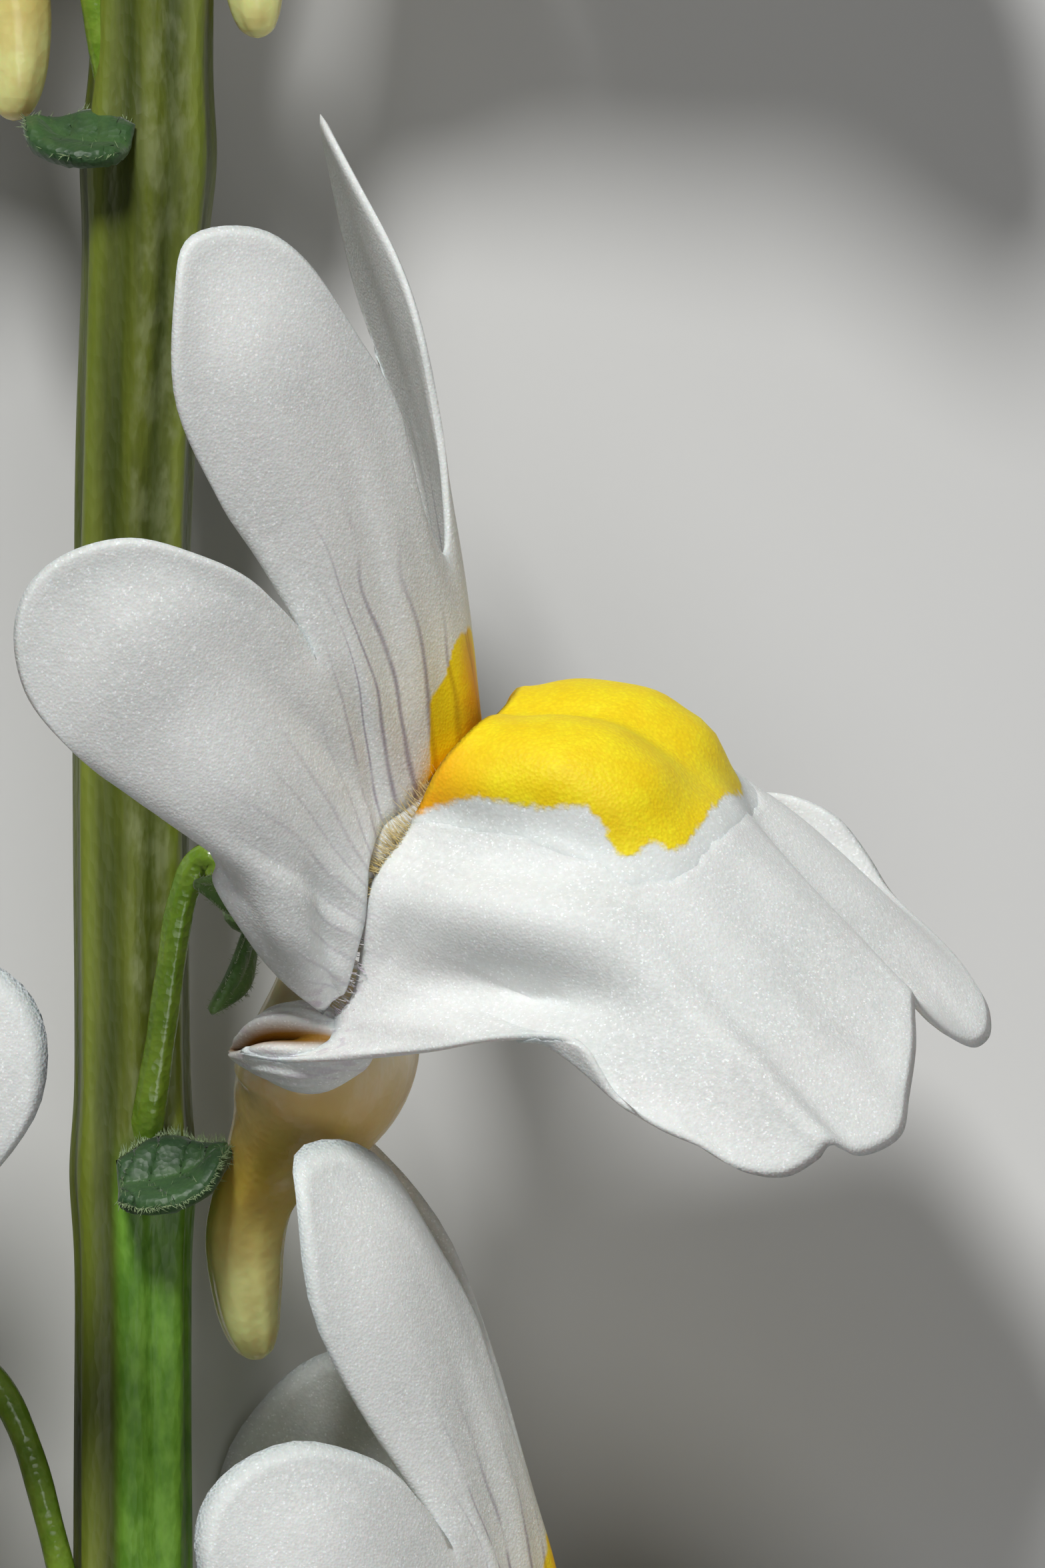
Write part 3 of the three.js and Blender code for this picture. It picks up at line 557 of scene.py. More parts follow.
def spurPiece(detail):
    steps, sides = detail["spur"]
    path = seen([[right, up, 0] for right, up in spur["path"]])

    def folds(t, a):
        lengthwise = (0.02 * np.sin(5 * a + 3 * t) + 0.012 * np.sin(9 * a - 7 * t)) * ease(t, 0.3, 0.6)
        return lengthwise + 0.015 * np.sin(24 * t + 2 * np.sin(a)) * ease(t, 0.5, 0.7)

    rings = ovalRings(path, spur["wide"], spur["deep"], steps, sides, relief=folds, ends=0.04)
    depth = -seenFrom(rings)[1]
    return lathe(rings, down=ease(depth, 2.8, 8.6), streak=ease(depth, 4.2, 2.2))


# A leaf blade: an arched rib, a half width along it, a toothed margin and a shallow fold; the side veins are
# sunk and the fields between them swell
def bladeGrid(shape, along, across):
    t = shares(along)
    s = np.linspace(-1, 1, across + 1)[None, :]
    centre = curve(shape["rib"], t)
    forward = heading(shape["rib"], t)
    sideways, lift = np.array(shape["sideways"], float), np.array(shape["lift"], float)
    axis = unit(sideways - forward * (forward @ sideways)[:, None])
    up = unit(lift - axis * (axis @ lift)[:, None])
    half = np.maximum(curve(shape["width"], t), 0.02)[:, None]
    teeth = shape.get("teeth", 0)
    tooth = shape.get("toothDepth", 0) * ((t * teeth) % 1 if teeth else t * 0)[:, None]
    reach = half * s + np.sign(s) * np.abs(s) ** 7 * tooth
    veins = np.zeros(reach.shape)
    if shape.get("veins"):
        phase = (t[:, None] * shape["veins"] - 0.75 * np.abs(s)) % 1
        veins = np.exp(-((np.minimum(phase, 1 - phase) / 0.07) ** 2)) * (1 - 0.6 * np.abs(s))
    rib = np.exp(-((s * half / shape.get("ribWidth", 0.12)) ** 2)) * np.ones_like(reach)
    veins = np.maximum(veins, rib)
    height = shape.get("fold", 0.2) * half * s**2 + shape.get("relief", 0.05) * (0.5 - veins)
    return centre[:, None] + axis[:, None] * reach[..., None] + up[:, None] * height[..., None], veins


# Hairs on a blade's two margins, and spread over its face
def bladeHairs(grid, margin, face, length, radius, seed):
    r = np.random.default_rng(seed)
    n = gridNormals(grid)
    rows, cols = grid.shape[:2]
    i = r.integers(1, rows - 1, margin)
    j = np.where(r.random(margin) < 0.5, 0, cols - 1)
    away = unit(grid[i, j] - grid[i, cols // 2])
    start, way = [grid[i, j]], [away + 0.5 * r.normal(size=(margin, 3)) * 0.6]
    if face:
        k, m = r.integers(1, rows - 1, face), r.integers(1, cols - 1, face)
        sign = np.where(r.random(face) < 0.5, 1, -1)[:, None]
        start.append(grid[k, m] + n[k, m] * sign * 0.1)
        way.append(n[k, m] * sign + 0.35 * r.normal(size=(face, 3)))
    start, way = join(start), join(way)
    made = hairs(start, way, length * r.uniform(0.6, 1.3, len(start)), radius)
    made["marks"]["hair"] = np.ones(len(made["verts"]))
    return made


def hairyBlade(shape, steps, look, margin, face, seed):
    grid, veins = bladeGrid(shape, *steps)
    blade = pillow(grid, look["thickness"], edge=look["thickness"], veins=veins)
    return merge(blade, bladeHairs(grid, margin, face, look["hairLength"], look["hairRadius"], seed))


# Calyx: a small cup of rings with five pointed sepals round the foot of the bloom
sepals = {
    "turns": [0, 62, 122, 238, 298], "rib": [[-0.1, 0.4], [-0.1, 0.9], [-0.12, 1.7], [-0.4, 2.6]],
    "width": [0.15, 0.32, 0.42, 0.06], "thickness": 0.3, "hairLength": 0.1, "hairRadius": 0.009}
cup = {"path": [[-0.5, 0.4, 0], [-0.28, 0.15, 0], [0.15, 0, 0]], "radius": [0.3, 0.6, 0.5]}


def calyx(detail):
    pieces = [lathe(ovalRings(cup["path"], cup["radius"], cup["radius"], 14, 28))]
    for k, degrees in enumerate(sepals["turns"]):
        a = radians(degrees)
        out = np.array([0, cos(a), sin(a)])
        shape = {
            "rib": [out * away + [ahead, 0, 0] for ahead, away in sepals["rib"]], "width": sepals["width"],
            "sideways": [0, -sin(a), cos(a)], "lift": [1, 0, 0], "relief": 0.04, "ribWidth": 0.1}
        pieces.append(hairyBlade(shape, detail["sepal"], sepals, detail["hairs"], detail["hairs"], k))
    return merge(*pieces)


# Pedicel: a round stalk that arches from the axil over the top and down to the cup
pedicel = {
    "path": [
        [-2.2, -4.05, 0.6], [-1.95, -2.5, 0.45], [-1.75, -1.1, 0.25], [-1.55, 0.1, 0.1],
        [-1.25, 0.85, 0], [-0.95, 0.95, 0], [-0.78, 0.72, 0]],
    "radius": 0.28, "foot": [-2.4, -4.95, 0.1]}
# Bract: a small folded leaf in the axil's foot
bract = {
    "rib": [[-2.75, -5.3, 1.7], [-2, -5.25, 1.45], [-1.2, -5, 1.1], [-0.65, -4.5, 0.8]],
    "width": [0.55, 0.95, 0.8, 0.12], "thickness": 0.45, "hairLength": 0.2, "hairRadius": 0.011}
# Where the stem's middle is seen beside the stalk's foot
stemPoint = [[-2.5, -4.99, 0]]


# The stalk is lengthened by setting its foot off
def pedicelPiece(detail, setOff):
    share = np.append(1, 1 - np.linspace(0, 1, len(pedicel["path"])))
    path = seen([pedicel["foot"]] + pedicel["path"]) - share[:, None] * setOff
    r = [pedicel["radius"] * k for k in (1.4, 1.12, 1, 0.97, 0.97, 1, 1.05, 1.15)]
    return lathe(ovalRings(path, r, r, *detail["stalk"], ends=0.02,
                           relief=lambda t, a: 0.012 * np.sin(7 * a) + 0.008 * np.sin(40 * t)))


def bractPiece(detail, setOff):
    shape = {
        "rib": seen(bract["rib"]) - setOff, "width": bract["width"], "sideways": [0, 0.45, -0.9],
        "lift": [0, 1, 0], "fold": 0.35, "relief": 0.06, "veins": 4, "ribWidth": 0.14}
    along, across = detail["sepal"]
    return hairyBlade(shape, (along * 2, across), bract, detail["hairs"] * 3, detail["hairs"], 77)


# The fringe of hairs along the mouth: golden between the palate and the upper lip, short and pale below
fringe = {"count": 260, "golden": [0.5, 0.84], "pale": [0.16, 0.5], "length": 0.6, "radius": 0.011}


def fringePiece():
    r = np.random.default_rng(5)
    pieces = []
    for (low, high), length, tone in ((fringe["golden"], 1, 1), (fringe["pale"], 0.5, 0)):
        k = fringe["count"] if tone else fringe["count"] // 2
        t = r.uniform(low, high, k)
        line = seen(lowerMouth)
        along = unit(curve(line, np.minimum(t + 0.01, 1)) - curve(line, t - 0.01))
        roots = curve(line, t) + r.normal(size=(k, 3)) * 0.07 + np.array([0.05, -0.05, 0.05])
        away = unit(np.cross(along, [0.1, 0.1, -1]))
        away = away * np.where(away[:, :1] > 0, -1, 1)
        ways = away + 0.25 * r.normal(size=(k, 3)) + np.array([0, 0.1, 0.35])
        made = hairs(roots, ways, fringe["length"] * length * r.uniform(0.55, 1.15, k), fringe["radius"],
                     bend=0.25, down=(0.3, 0.2, -0.4), segments=5)
        made["marks"]["golden"] = np.full(len(made["verts"]), tone)
        pieces.append(made)
    return merge(*pieces)


# Stem: four-angled rings along an arched line, swollen at the nodes, with fine lengthwise lines
stemLook = {
    "radius": 1.22,
    "path": [
        [-6.6, -55, 1.1], [-7, -48, 1.9], [-7.3, -40, 3.2], [-7.35, -30, 4.6], [-7.35, -20, 5.25],
        [-7.4, -7.35, 5.34], [-7.4, 4, 5.34], [-7.1, 12, 5.44], [-6.8, 22, 5.54], [-6.9, 32, 5.64],
        [-7.2, 40, 5.84]],
    "taper": [1.12, 1.08, 1.04, 1, 0.97, 0.93, 0.93, 1, 0.85, 0.6, 0.3],
    "steps": 760, "sides": 88}


# The point of the stem's line at a place along the table
def stemAt(y):
    t = np.linspace(0, 1, 4001)
    p = curve(stemLook["path"], t)
    return p[np.argmin(np.abs(p[:, 1] - y))]


def stemPiece(nodes):
    t = shares(stemLook["steps"])
    a = roundAngles(stemLook["sides"])[None, :]
    turn = a % (np.pi / 2) - np.pi / 4
    ridge = np.exp(-((turn / 0.2) ** 2))
    gully = np.exp(-(((np.abs(turn) - 0.42) / 0.16) ** 2))
    radius = 0.97 + 0.15 * ridge - 0.05 * gully
    wander = 0.012 * np.sin(9 * a + 40 * t[:, None]) + 0.01 * np.sin(17 * a - 60 * t[:, None])
    swell = np.zeros((len(t), a.size))
    for y in nodes:
        swell += 0.09 * np.exp(-(((curve(stemLook["path"], t)[:, 1] - y) / 1.1) ** 2))[:, None]
    size = stemLook["radius"] * curve(stemLook["taper"], t)[:, None]
    fade = np.sqrt(np.clip(np.minimum(t / 0.004, (1 - t) / 0.004), 0, 1))[:, None]
    r = size * (radius + wander + swell) * fade
    p = besidePath(stemLook["path"], t, (1, 0, 0), r * np.cos(a), r * np.sin(a))
    ones = np.ones((len(t), 1))
    return lathe(p, ridge=ridge * ones, gully=gully * ones, toRight=np.cos(a) * ones)


# The pair of toothed leaves low on the stem
leafLook = {
    "node": -42, "length": 17, "width": [1.1, 2.1, 2.9, 2.8, 2, 1, 0.15], "teeth": 6,
    "toothDepth": 0.55, "thickness": 0.45, "grid": [190, 44], "veins": 9, "hairs": 260, "hairLength": 0.16,
    "hairRadius": 0.01}


def leafPiece(hand):
    at = stemAt(leafLook["node"])
    size = leafLook["length"]
    rib = [[at[0] + hand * (0.9 + size * t * 0.9), at[1] + size * (0.42 * t + 0.1 * sin(pi * t)),
            at[2] + 1.6 * sin(2.4 * t) - 3 * t * t] for t in (0.03, 0.25, 0.5, 0.75, 1)]
    shape = dict(leafLook, rib=rib, sideways=[-0.45, 0.9 * hand, 0], lift=[0, 0, 1], fold=0.22, relief=0.16)
    return hairyBlade(shape, leafLook["grid"], leafLook, leafLook["hairs"], 0, 3 + hand)


# Closed buds: a folded pale corolla, its seams sunk along slanting lines, on a green calyx and stalk
budLook = {
    "line": [[1.1, 3.2, 0], [1.55, 3.6, 0], [2.3, 4.3, 0], [3, 5.3, 0], [3.3, 6.2, 0]],
    "wide": [0.5, 1.1, 1.35, 1, 0.25], "deep": [0.4, 0.95, 1.2, 0.95, 0.25],
    "spur": [[2.6, 4.1, 0], [2.75, 3.3, 0], [2.65, 2.5, 0], [2.5, 1.8, 0]],
    "spurRadius": [0.7, 0.45, 0.35, 0.15],
    "stalk": [[0, 0.3, 0], [0.5, 1.2, 0], [0.75, 2.2, 0], [0.95, 2.95, 0]],
    "stalkRadius": [0.3, 0.26, 0.34, 0.5], "grid": [44, 64], "sepalGrid": [22, 10], "hairs": 26,
    "sepalRib": [[0, 0.35], [0.25, 1.25], [1.2, 1.95], [2.3, 2.05]], "sepalWidth": [0.15, 0.4, 0.5, 0.08]}


def budPetals():
    def seams(t, a):
        phase = (a / (2 * np.pi) * 4 + 0.45 * t) % 1
        seam = -0.09 * np.exp(-((np.minimum(phase, 1 - phase) / 0.06) ** 2)) * np.sin(np.pi * t)
        return seam + 0.03 * np.sin(12 * a + 5 * t) * np.sin(np.pi * t)

    steps, sides = budLook["grid"]
    body = ovalRings(budLook["line"], budLook["wide"], budLook["deep"], steps, sides, relief=seams)
    t = shares(steps)[:, None] * np.ones((1, sides))
    tail = ovalRings(budLook["spur"], budLook["spurRadius"], budLook["spurRadius"], 20, 24)
    return merge(lathe(body, along=t), lathe(tail, along=np.full(tail.shape[:2], -1)))


def budCalyx():
    axis = unit(np.array([0.7, 0.75, 0]))
    base = np.array([0.9, 2.8, 0])
    radius = budLook["stalkRadius"]
    pieces = [lathe(ovalRings(budLook["stalk"], radius, radius, 24, 20, ends=0.03))]
    for k in range(5):
        a = 2 * pi * (k + 0.5) / 5
        out = np.array([cos(a) * axis[1], -cos(a) * axis[0], sin(a)])
        rib = [base + axis * ahead + out * away for ahead, away in budLook["sepalRib"]]
        shape = {
            "rib": rib, "width": budLook["sepalWidth"], "sideways": np.cross(axis, out), "lift": out,
            "relief": 0.04}
        count = budLook["hairs"]
        pieces.append(hairyBlade(shape, budLook["sepalGrid"], sepals, count, count, 40 + k))
    return merge(*pieces)


# The tip's knot: tiny buds in a ring round one in the middle, each a furrowed and hairy drop
tipLook = {"count": 5, "radius": [0.3, 0.55, 0.1], "spread": 0.75, "hairs": 60, "hairLength": 0.13}


def furrows(t, a):
    return -0.06 * np.abs(np.cos(2.5 * a + 1.3 * t)) ** 8


def tipPiece():
    top = curve(stemLook["path"], [1])[0]
    pieces = []
    for k in range(tipLook["count"]):
        turn = 2 * pi * k / (tipLook["count"] - 1)
        spread = 0 if k == tipLook["count"] - 1 else tipLook["spread"]
        out = np.array([cos(turn), 0, sin(turn)]) * spread
        foot, end = top + out * 0.3 + [0, 0.35, 0], top + out + [0, 2 - 0.1 * k, 0]
        rings = ovalRings([foot, (foot + end) / 2, end], tipLook["radius"], tipLook["radius"], 26, 32,
                          sideways=(1, 0, 0.2), relief=furrows)
        tuft = bladeHairs(rings, 0, tipLook["hairs"], tipLook["hairLength"], 0.008, 60 + k)
        pieces += [lathe(rings), tuft]
    return merge(*pieces)


# The turn and place that set a bloom or bud on the stem
def stance(at, shape, foot):
    a, lean, p = (radians(shape.get(key, 0)) for key in ("azimuth", "lean", "pitch"))
    forward = np.array([cos(a), 0, sin(a)])
    side = np.array([-sin(a), 0, cos(a)])
    up = np.array([0, cos(lean), 0]) + side * sin(lean)
    own = np.cross(forward, up) * (-1 if shape.get("mirrored") else 1)
    turn = np.array([[cos(p), -sin(p), 0], [sin(p), cos(p), 0], [0, 0, 1]])
    matrix = np.stack([forward, up, own], 1) @ turn * shape["size"]
    return matrix, at - matrix @ foot


# Nothing sinks into the table: heights near it are squeezed so that they stay above it
def onTable(piece, soft=0.3):
    z = piece["verts"][:, 2]
    low = z < soft
    z[low] = soft * np.exp((z[low] - soft) / soft)
    return piece


# Short names for the kinds of node that the materials are made of
class Graph:
    def __init__(self, name):
        self.material = bpy.data.materials.new(name)
        self.material.use_nodes = True
        self.tree = self.material.node_tree
        self.shader = self.tree.nodes["Principled BSDF"]
        self.place = self.tree.nodes.new("ShaderNodeTexCoord").outputs["Object"]

    def node(self, kind, inputs, out=0, **settings):
        made = self.tree.nodes.new("ShaderNode" + kind)
        for key, value in settings.items():
            setattr(made, key, value)
        for key, value in inputs.items():
            self.put(made.inputs[key], value)
        return made.outputs[out]

    def put(self, socket, value):
        if isinstance(value, bpy.types.NodeSocket):
            self.tree.links.new(value, socket)
        else:
            socket.default_value = value

    def stretched(self, x, y, z):
        return self.node("Mapping", {"Vector": self.place, "Scale": (x, y, z)})

    def noise(self, perMillimetre, detail, vector=None):
        return self.node("TexNoise", {
            "Vector": vector or self.place, "Scale": perMillimetre / millimetre, "Detail": detail,
            "Roughness": 0.55})

    def cells(self, perMillimetre, vector=None, out=0):
        return self.node("TexVoronoi", {
            "Vector": vector or self.place, "Scale": perMillimetre / millimetre}, out)

    def mark(self, name):
        return self.node("Attribute", {}, out=2, attribute_name=name)

    def math(self, operation, a, b=0):
        return self.node("Math", {0: a, 1: b}, operation=operation)

    def times(self, a, b):
        return self.math("MULTIPLY", a, b)

    def plus(self, a, b):
        return self.math("ADD", a, b)

    def ease(self, value, low, high):
        return self.node("MapRange", {"Value": value, "From Min": low, "From Max": high},
                         interpolation_type="SMOOTHSTEP")

    def mix(self, factor, a, b):
        colours = [(*c, 1) if isinstance(c, tuple) else c for c in (a, b)]
        return self.node("Mix", {0: factor, 6: colours[0], 7: colours[1]}, out=2, data_type="RGBA")

    def bump(self, height, distance, strength=1, normal=None):
        inputs = {"Height": height, "Distance": distance * millimetre, "Strength": strength}
        if normal:
            inputs["Normal"] = normal
        return self.node("Bump", inputs)

    # Lays a tone over the colour so far
    def lay(self, share, tone, strength=1):
        self.colour = self.mix(share if strength == 1 else self.times(share, strength), self.colour, tone)

    def finish(self, roughness, normal=None, **others):
        self.put(self.shader.inputs["Base Color"], self.colour)
        self.put(self.shader.inputs["Roughness"], roughness)
        if normal:
            self.put(self.shader.inputs["Normal"], normal)
        for key, value in others.items():
            self.shader.inputs[key.replace("_", " ")].default_value = value
        return self.material


# White skin, also the palate's pale part: cloudy pale greys, a lighter fine grain and painted highlights:
# bright flecks on the cells that stand in for glints of light
def whiteSkin(g):
    grain = g.noise(9, 2)
    colour = g.mix(g.ease(g.noise(0.35, 3), 0.35, 0.7), (0.76, 0.77, 0.76), (0.66, 0.68, 0.67))
    colour = g.mix(g.times(g.ease(grain, 0.35, 0.75), 0.5), colour, (0.86, 0.87, 0.87))
    # Painted highlights: near-white flecks on single cells stand in for the sparkle of light on the skin
    paintedGlint = g.cells(30, out=1)
    return g.mix(g.ease(g.node("SeparateXYZ", {"Vector": paintedGlint}), 0.9, 1), colour, (0.96, 0.97, 0.98))


# Petal: white, greyer at the rim; dark veins on stripes of the ray mark, violet streaks where tinted, amber
# where the patch is, beige on the tube, and brown where deep: the throat's own amber darkened by painted
# shade, and painted shade in the pouch's slit
def petalSurface():
    g = Graph("petal_skin")
    g.colour = whiteSkin(g)
    g.lay(g.mark("rim"), (0.66, 0.73, 0.72), 0.15)
    spread = g.plus(g.mark("ray"), g.times(g.noise(0.4, 1), 0.03))
    phase = g.math("ABSOLUTE", g.math("SUBTRACT", g.math("FRACT", g.times(spread, 32)), 0.5))
    width = g.math("DIVIDE", 0.24, g.plus(1, g.times(g.mark("reach"), 3)))
    line = g.ease(phase, width, 0)
    vein = g.times(g.times(g.mark("veins"), line), g.ease(g.noise(0.8, 1), 0.25, 0.5))
    g.lay(vein, (0.22, 0.18, 0.26), 0.7)
    streaks = g.ease(g.noise(1.5, 2, g.stretched(0.7, 4, 2.5)), 0.52, 0.62)
    g.lay(g.times(g.mark("tint"), streaks), (0.4, 0.25, 0.4), 0.6)
    fuzzy = g.plus(g.mark("patch"), g.times(g.math("SUBTRACT", g.noise(4, 3), 0.5), 0.5))
    streaked = g.plus(g.mark("warm"), g.times(g.math("SUBTRACT", g.noise(2, 2), 0.5), 0.6))
    amber = g.mix(g.ease(streaked, 0.1, 1), (0.9, 0.68, 0.005), (0.74, 0.34, 0.003))
    amber = g.mix(g.times(line, 0.45), amber, (0.35, 0.17, 0.005))
    g.lay(g.ease(fuzzy, 0.22, 0.78), amber)
    g.lay(g.mark("tube"), (0.5, 0.44, 0.26), 0.8)
    # Painted shade: the deep mark darkens the throat's inner face and the pouch's slit to brown, over the
    # throat's own amber
    g.lay(g.mark("deep"), (0.3, 0.14, 0.01))
    fine = g.bump(g.cells(17), 0.02, 0.35)
    normal = g.bump(g.noise(1.2, 3), 0.02, 0.5, fine)
    return g.finish(0.6, normal, Subsurface_Weight=0.15, Subsurface_Scale=0.0004, Specular_IOR_Level=0.35)


# Palate: mottled yellow, orange by its mark, freckled by cells; white where its mark plus noise is low
def palateSurface():
    g = Graph("palate_velvet")
    grain = g.noise(7, 3)
    patch = g.noise(1.3, 3)
    edge = g.plus(g.mark("yellow"), g.times(g.math("SUBTRACT", grain, 0.5), 0.7))
    edge = g.plus(edge, g.times(g.math("SUBTRACT", patch, 0.5), 0.6))
    yellow = g.mix(g.ease(patch, 0.3, 0.7), (0.93, 0.66, 0.004), (0.97, 0.78, 0.012))
    warm = g.times(g.mark("orange"), g.ease(patch, 0, 0.5))
    yellow = g.mix(warm, yellow, (0.92, 0.38, 0.002))
    yellow = g.mix(g.times(g.ease(g.cells(11), 0.25, 0.6), 0.25), yellow, (0.75, 0.45, 0.002))
    shown = g.ease(edge, 0.28, 0.72)
    g.colour = g.mix(shown, whiteSkin(g), yellow)
    velvet = g.bump(g.times(g.cells(14), g.plus(0.5, g.times(shown, 0.5))), 0.025, 0.45)
    normal = g.bump(g.times(patch, shown), 0.04, 0.5, velvet)
    return g.finish(0.6, normal, Subsurface_Weight=0.15, Subsurface_Scale=0.0004, Specular_IOR_Level=0.3)


# Spur: beige to amber to pale yellow downwards, clouded brown, streaked pale at the top
def spurSurface():
    g = Graph("spur_skin")
    down = g.mark("down")
    g.colour = g.mix(g.ease(down, 0.05, 0.4), (0.68, 0.47, 0.16), (0.72, 0.5, 0.08))
    g.lay(g.ease(down, 0.35, 0.95), (0.88, 0.86, 0.36))
    g.lay(g.ease(g.noise(1.2, 3), 0.4, 0.7), (0.58, 0.34, 0.07), 0.3)
    g.lay(g.mark("streak"), (0.74, 0.66, 0.46), 0.75)
    lines = g.ease(g.noise(1.1, 3, g.stretched(3, 0.8, 3)), 0.45, 0.65)
    g.lay(g.times(lines, g.mark("streak")), (0.78, 0.72, 0.6), 0.4)
    beads = g.bump(g.cells(5), 0.02, 0.4)
    normal = g.bump(g.noise(1.8, 3), 0.04, 0.35, beads)
    return g.finish(0.27, normal, Subsurface_Weight=0.4, Subsurface_Scale=0.0009, Coat_Weight=0.2)


# Green skins: cloudy dark to light, flecked and veined in the vein colour; hairs in theirs
def greenSurface(name, dark, light, roughness, bead, veinColour, hairColour, **others):
    g = Graph(name)
    g.colour = g.mix(g.ease(g.noise(1.1, 4), 0.3, 0.7), dark, light)
    g.lay(g.ease(g.noise(6, 2), 0.5, 0.75), veinColour, 0.3)
    g.lay(g.mark("veins"), veinColour, 0.45)
    g.lay(g.mark("hair"), hairColour)
    fine = g.bump(g.cells(bead), 0.03, 0.6)
    return g.finish(roughness, g.bump(g.noise(2, 3), 0.04, 0.5, fine), **others)


# Stem: fibrous olive, light ridges, gullies darkened by painted shade, a pale mottled band of painted sheen
# on the right and a fresh green low down
def stemSurface():
    g = Graph("stem_skin")
    fibre = g.noise(2.6, 4, g.stretched(1, 0.07, 1))
    mottle = g.noise(3.2, 3, g.stretched(1, 0.5, 1))
    toRight = g.mark("toRight")
    olive = g.mix(g.ease(fibre, 0.3, 0.7), (0.07, 0.09, 0.006), (0.13, 0.16, 0.012))
    light = g.mix(g.ease(fibre, 0.3, 0.7), (0.13, 0.17, 0.014), (0.19, 0.23, 0.03))
    g.colour = g.mix(g.ease(g.mark("ridge"), 0.15, 0.85), olive, light)
    # Painted highlight: a pale mottled band of sheen on the stem's face towards its right side, where the
    # light falls
    paintedSheenBand = g.times(g.ease(toRight, -0.15, 0.05), g.ease(toRight, 0.75, 0.55))
    paintedSheenBand = g.times(paintedSheenBand, g.ease(mottle, 0.4, 0.68))
    g.lay(paintedSheenBand, (0.25, 0.28, 0.12), 0.5)
    # Painted shade: the gullies between the ridges are darkened as if shade lay in them
    g.lay(g.mark("gully"), (0.02, 0.035, 0.004), 0.5)
    low = g.node("SeparateXYZ", {"Vector": g.place}, out=1)
    low = g.plus(low, g.times(fibre, 0.0008))
    bright = g.mix(g.ease(mottle, 0.3, 0.7), (0.075, 0.21, 0.01), (0.15, 0.33, 0.03))
    fresh = g.times(g.ease(low, 0.0006, -0.0012), g.ease(toRight, -0.4, -0.15))
    g.lay(fresh, bright, 0.9)
    fine = g.bump(g.cells(8, g.stretched(1, 0.35, 1)), 0.035, 0.5)
    return g.finish(0.45, g.bump(fibre, 0.05, 0.5, fine), Subsurface_Weight=0.08, Subsurface_Scale=0.0005)


# Bud: green at the foot to white, with faint violet streaks
def budSurface():
    g = Graph("bud_skin")
    along = g.mark("along")
    g.colour = g.mix(g.ease(along, 0, 0.6), (0.4, 0.46, 0.16), (0.64, 0.65, 0.58))
    streaks = g.ease(g.noise(1.2, 2, g.stretched(3, 1, 3)), 0.55, 0.65)
    g.lay(streaks, (0.36, 0.26, 0.36), 0.35)
    fine = g.bump(g.cells(10), 0.03, 0.5)
    return g.finish(0.42, fine, Subsurface_Weight=0.25, Subsurface_Scale=0.0006)


# Fringe: golden hairs and pale violet ones, as their mark says
def fringeSurface():
    g = Graph("fringe_hairs")
    gold = g.mix(g.ease(g.noise(5, 2), 0.3, 0.7), (0.72, 0.56, 0.2), (0.92, 0.8, 0.48))
    pale = g.mix(g.ease(g.noise(5, 2), 0.4, 0.7), (0.8, 0.78, 0.8), (0.58, 0.47, 0.6))
    g.colour = g.mix(g.mark("golden"), pale, gold)
    return g.finish(0.4, Subsurface_Weight=0.1)


surfaces = {
    "petal": petalSurface(), "palate": palateSurface(), "spur": spurSurface(), "stem": stemSurface(),
    "bud": budSurface(), "fringe": fringeSurface(),
    "sepal": greenSurface(
        "sepal_skin", (0.045, 0.12, 0.015), (0.11, 0.22, 0.045), 0.5, 9, (0.18, 0.28, 0.08),
        (0.35, 0.42, 0.25), Sheen_Weight=0.2),
    "pedicel": greenSurface(
        "pedicel_skin", (0.11, 0.21, 0.012), (0.19, 0.3, 0.03), 0.22, 7, (0.26, 0.36, 0.07),
        (0.4, 0.46, 0.3), Subsurface_Weight=0.15, Subsurface_Scale=0.0005, Coat_Weight=0.5),
    "bract": greenSurface(
        "bract_skin", (0.012, 0.05, 0.012), (0.035, 0.1, 0.022), 0.5, 8, (0.06, 0.14, 0.035),
        (0.3, 0.4, 0.2), Sheen_Weight=0.15),
    "leaf": greenSurface(
        "leaf_skin", (0.04, 0.115, 0.015), (0.09, 0.2, 0.03), 0.42, 6, (0.19, 0.3, 0.08),
        (0.35, 0.42, 0.25))}

print("surfaces and their colours ready")

# Where blooms and buds stand: the place along the stem in mm, turns in degrees, and what lengthens a stalk
blooms = {
    "main_bloom": {"height": -7.35, "azimuth": 20, "lean": 17, "size": 1, "fine": True},
    "upper_left_bloom": {"height": 11.9, "azimuth": 180, "lean": -3, "size": 0.97, "mirrored": True,
                         "reach": 0.5, "rise": 4.4},
    "top_right_bloom": {"height": 17.6, "azimuth": 0, "lean": 3, "size": 0.93, "reach": -0.1},
    "lower_left_bloom": {"height": -19, "azimuth": 175, "lean": -4.5, "size": 1, "mirrored": True,
                         "reach": 0.9, "rise": 2.2},
    "lower_right_bloom": {"height": -25.2, "azimuth": 0, "lean": 7, "size": 0.97, "pitch": 11,
                          "reach": 2.2, "rise": -1}}
buds = {
    "bud_1": {"height": 23, "azimuth": 150, "size": 1.15},
    "bud_2": {"height": 26.5, "azimuth": 50, "size": 1.05},
    "bud_3": {"height": 29.5, "azimuth": 190, "size": 0.92},
    "bud_4": {"height": 31.8, "azimuth": -10, "size": 0.8},
    "bud_5": {"height": 34, "azimuth": 100, "size": 0.68}}
# Steps and sides, or rows and columns, of the main bloom (True) and of the others
detail = {
    True: {"lip": (300, 56), "tube": (40, 56), "boss": (96, 72), "spur": (130, 72), "sepal": (40, 14),
           "stalk": (150, 28), "hairs": 150},
    False: {"lip": (150, 18), "tube": (16, 24), "boss": (32, 32), "spur": (48, 28), "sepal": (22, 8),
            "stalk": (60, 14), "hairs": 24}}

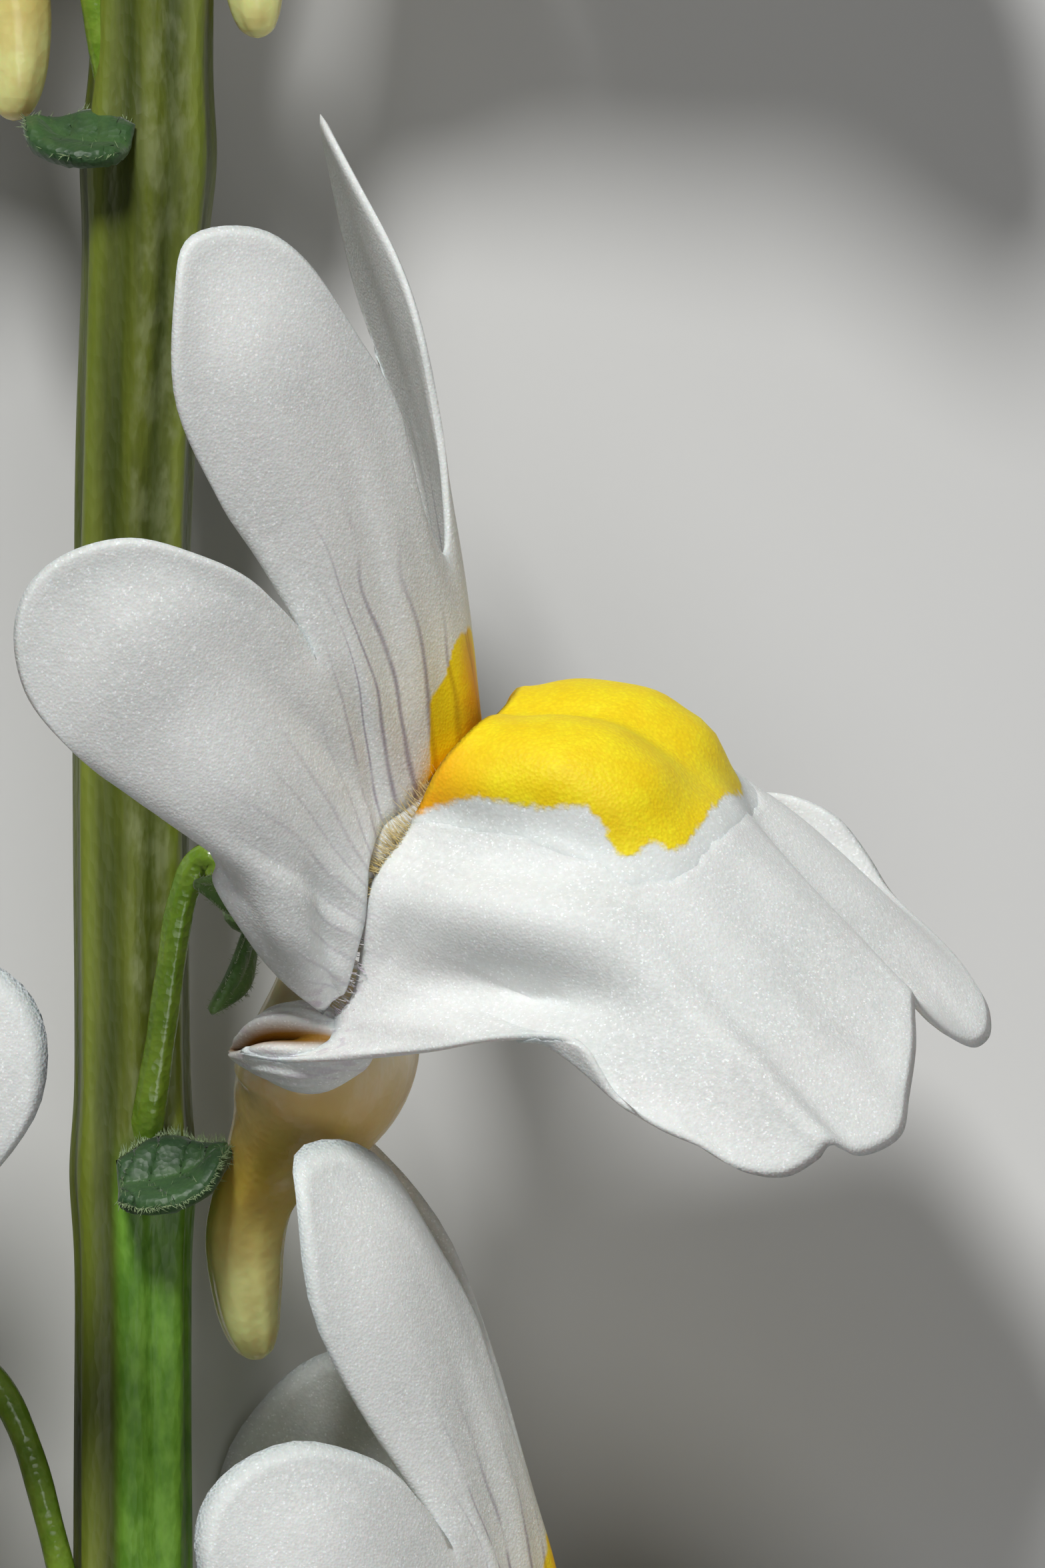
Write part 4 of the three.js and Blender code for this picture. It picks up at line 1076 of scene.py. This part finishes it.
for name, shape in blooms.items():
    look = detail[shape.get("fine", False)]
    setOff = np.array([shape.get("reach", 0), shape.get("rise", 0), 0], float)
    root = seen(stemPoint)[0] - setOff
    matrix, offset = stance(stemAt(shape["height"]), shape, root)
    made = {
        "corolla": (corolla(look), "petal"), "palate": (palate(look), "palate"),
        "spur": (spurPiece(look), "spur"), "calyx": (calyx(look), "sepal"),
        "pedicel": (pedicelPiece(look, setOff), "pedicel"),
        "bract": (bractPiece(look, setOff), "bract")}
    for part, (piece, kind) in made.items():
        node = f"{name}_{part}"
        build(f"{node}_fine", onTable(placed(piece, matrix, offset)), surfaces[kind], [node])
    if shape.get("fine"):
        build(f"{name}_fringe", onTable(placed(fringePiece(), matrix, offset)), surfaces["fringe"])
    print(name, "built")

nodes = [shape["height"] for shape in blooms.values()]
build("stem_fine", onTable(stemPiece(nodes)), surfaces["stem"], ["stem"])
print("stem built")

for name, shape in buds.items():
    matrix, offset = stance(stemAt(shape["height"]), shape, np.array([-0.1, 0, 0]))
    for part, piece, kind in (("petals", budPetals(), "bud"), ("calyx", budCalyx(), "sepal")):
        node = f"{name}_{part}"
        build(f"{node}_fine", placed(piece, matrix, offset), surfaces[kind], [node])
build("tip_buds_fine", tipPiece(), surfaces["sepal"], ["tip_buds"])
for side, hand in (("left", -1), ("right", 1)):
    build(f"leaf_{side}_fine", onTable(leafPiece(hand)), surfaces["leaf"], [f"leaf_{side}"])
print("buds and leaves built")

# A plain pale floor, soft lights and the photo's view straight down on the stem: distance and heights in mm,
# the floor and the lights' target in m
studio = {
    "distance": 600, "imageHeight": 29.4, "focusHeight": 12, "floorTone": 0.62, "floorReach": 1.5,
    "floorDrop": 2e-5, "target": [0, 0, 0.005], "worldTone": (0.9, 0.91, 0.91, 1), "worldStrength": 0.08}


# Floor: one pale grey with a faint wide cloud
def floorSurface():
    g = Graph("floor_card")
    tone = studio["floorTone"]
    pale = (tone * 1.04, tone * 1.04, tone * 1.03)
    g.colour = g.mix(g.ease(g.noise(0.02, 2), 0.3, 0.7), (tone, tone, tone), pale)
    return g.finish(0.9)


floorMesh = bpy.data.meshes.new("floor")
reach, drop = studio["floorReach"], studio["floorDrop"]
corners = [(-reach, -reach, -drop), (reach, -reach, -drop), (reach, reach, -drop), (-reach, reach, -drop)]
floorMesh.from_pydata(corners, [], [(0, 1, 2, 3)])
floorMesh.materials.append(floorSurface())
floor = addObject("floor", floorMesh)


def areaLight(name, place, size, energy, colour):
    lamp = bpy.data.lights.new(name, "AREA")
    lamp.shape, lamp.size, lamp.energy, lamp.color = "DISK", size, energy, colour
    obj = addObject(name, lamp)
    obj.location = place
    obj.rotation_euler = Vector(studio["target"] - np.array(place)).to_track_quat("-Z", "Y").to_euler()
    return obj


keyLight = areaLight("key_light", (-0.28, 0.96, 0.96), 0.33, 17.5, (1, 1, 0.98))
fillLight = areaLight("fill_light", (0.24, -0.28, 0.9), 0.6, 1.9, (1, 1, 1))
world = bpy.data.worlds.new("studio")
world.use_nodes = True
sky = world.node_tree.nodes["Background"].inputs
sky["Color"].default_value = studio["worldTone"]
sky["Strength"].default_value = studio["worldStrength"]
scene.world = world
scene.view_settings.view_transform = "Standard"  # a plain view keeps the yellow and the greens

camera = bpy.data.cameras.new("camera")
camera.lens = camera.sensor_width * studio["distance"] / studio["imageHeight"]
view = addObject("camera", camera)
view.location = (viewCentre + [0, 0, studio["focusHeight"] + studio["distance"]]) * millimetre
scene.camera = view
print("studio ready")
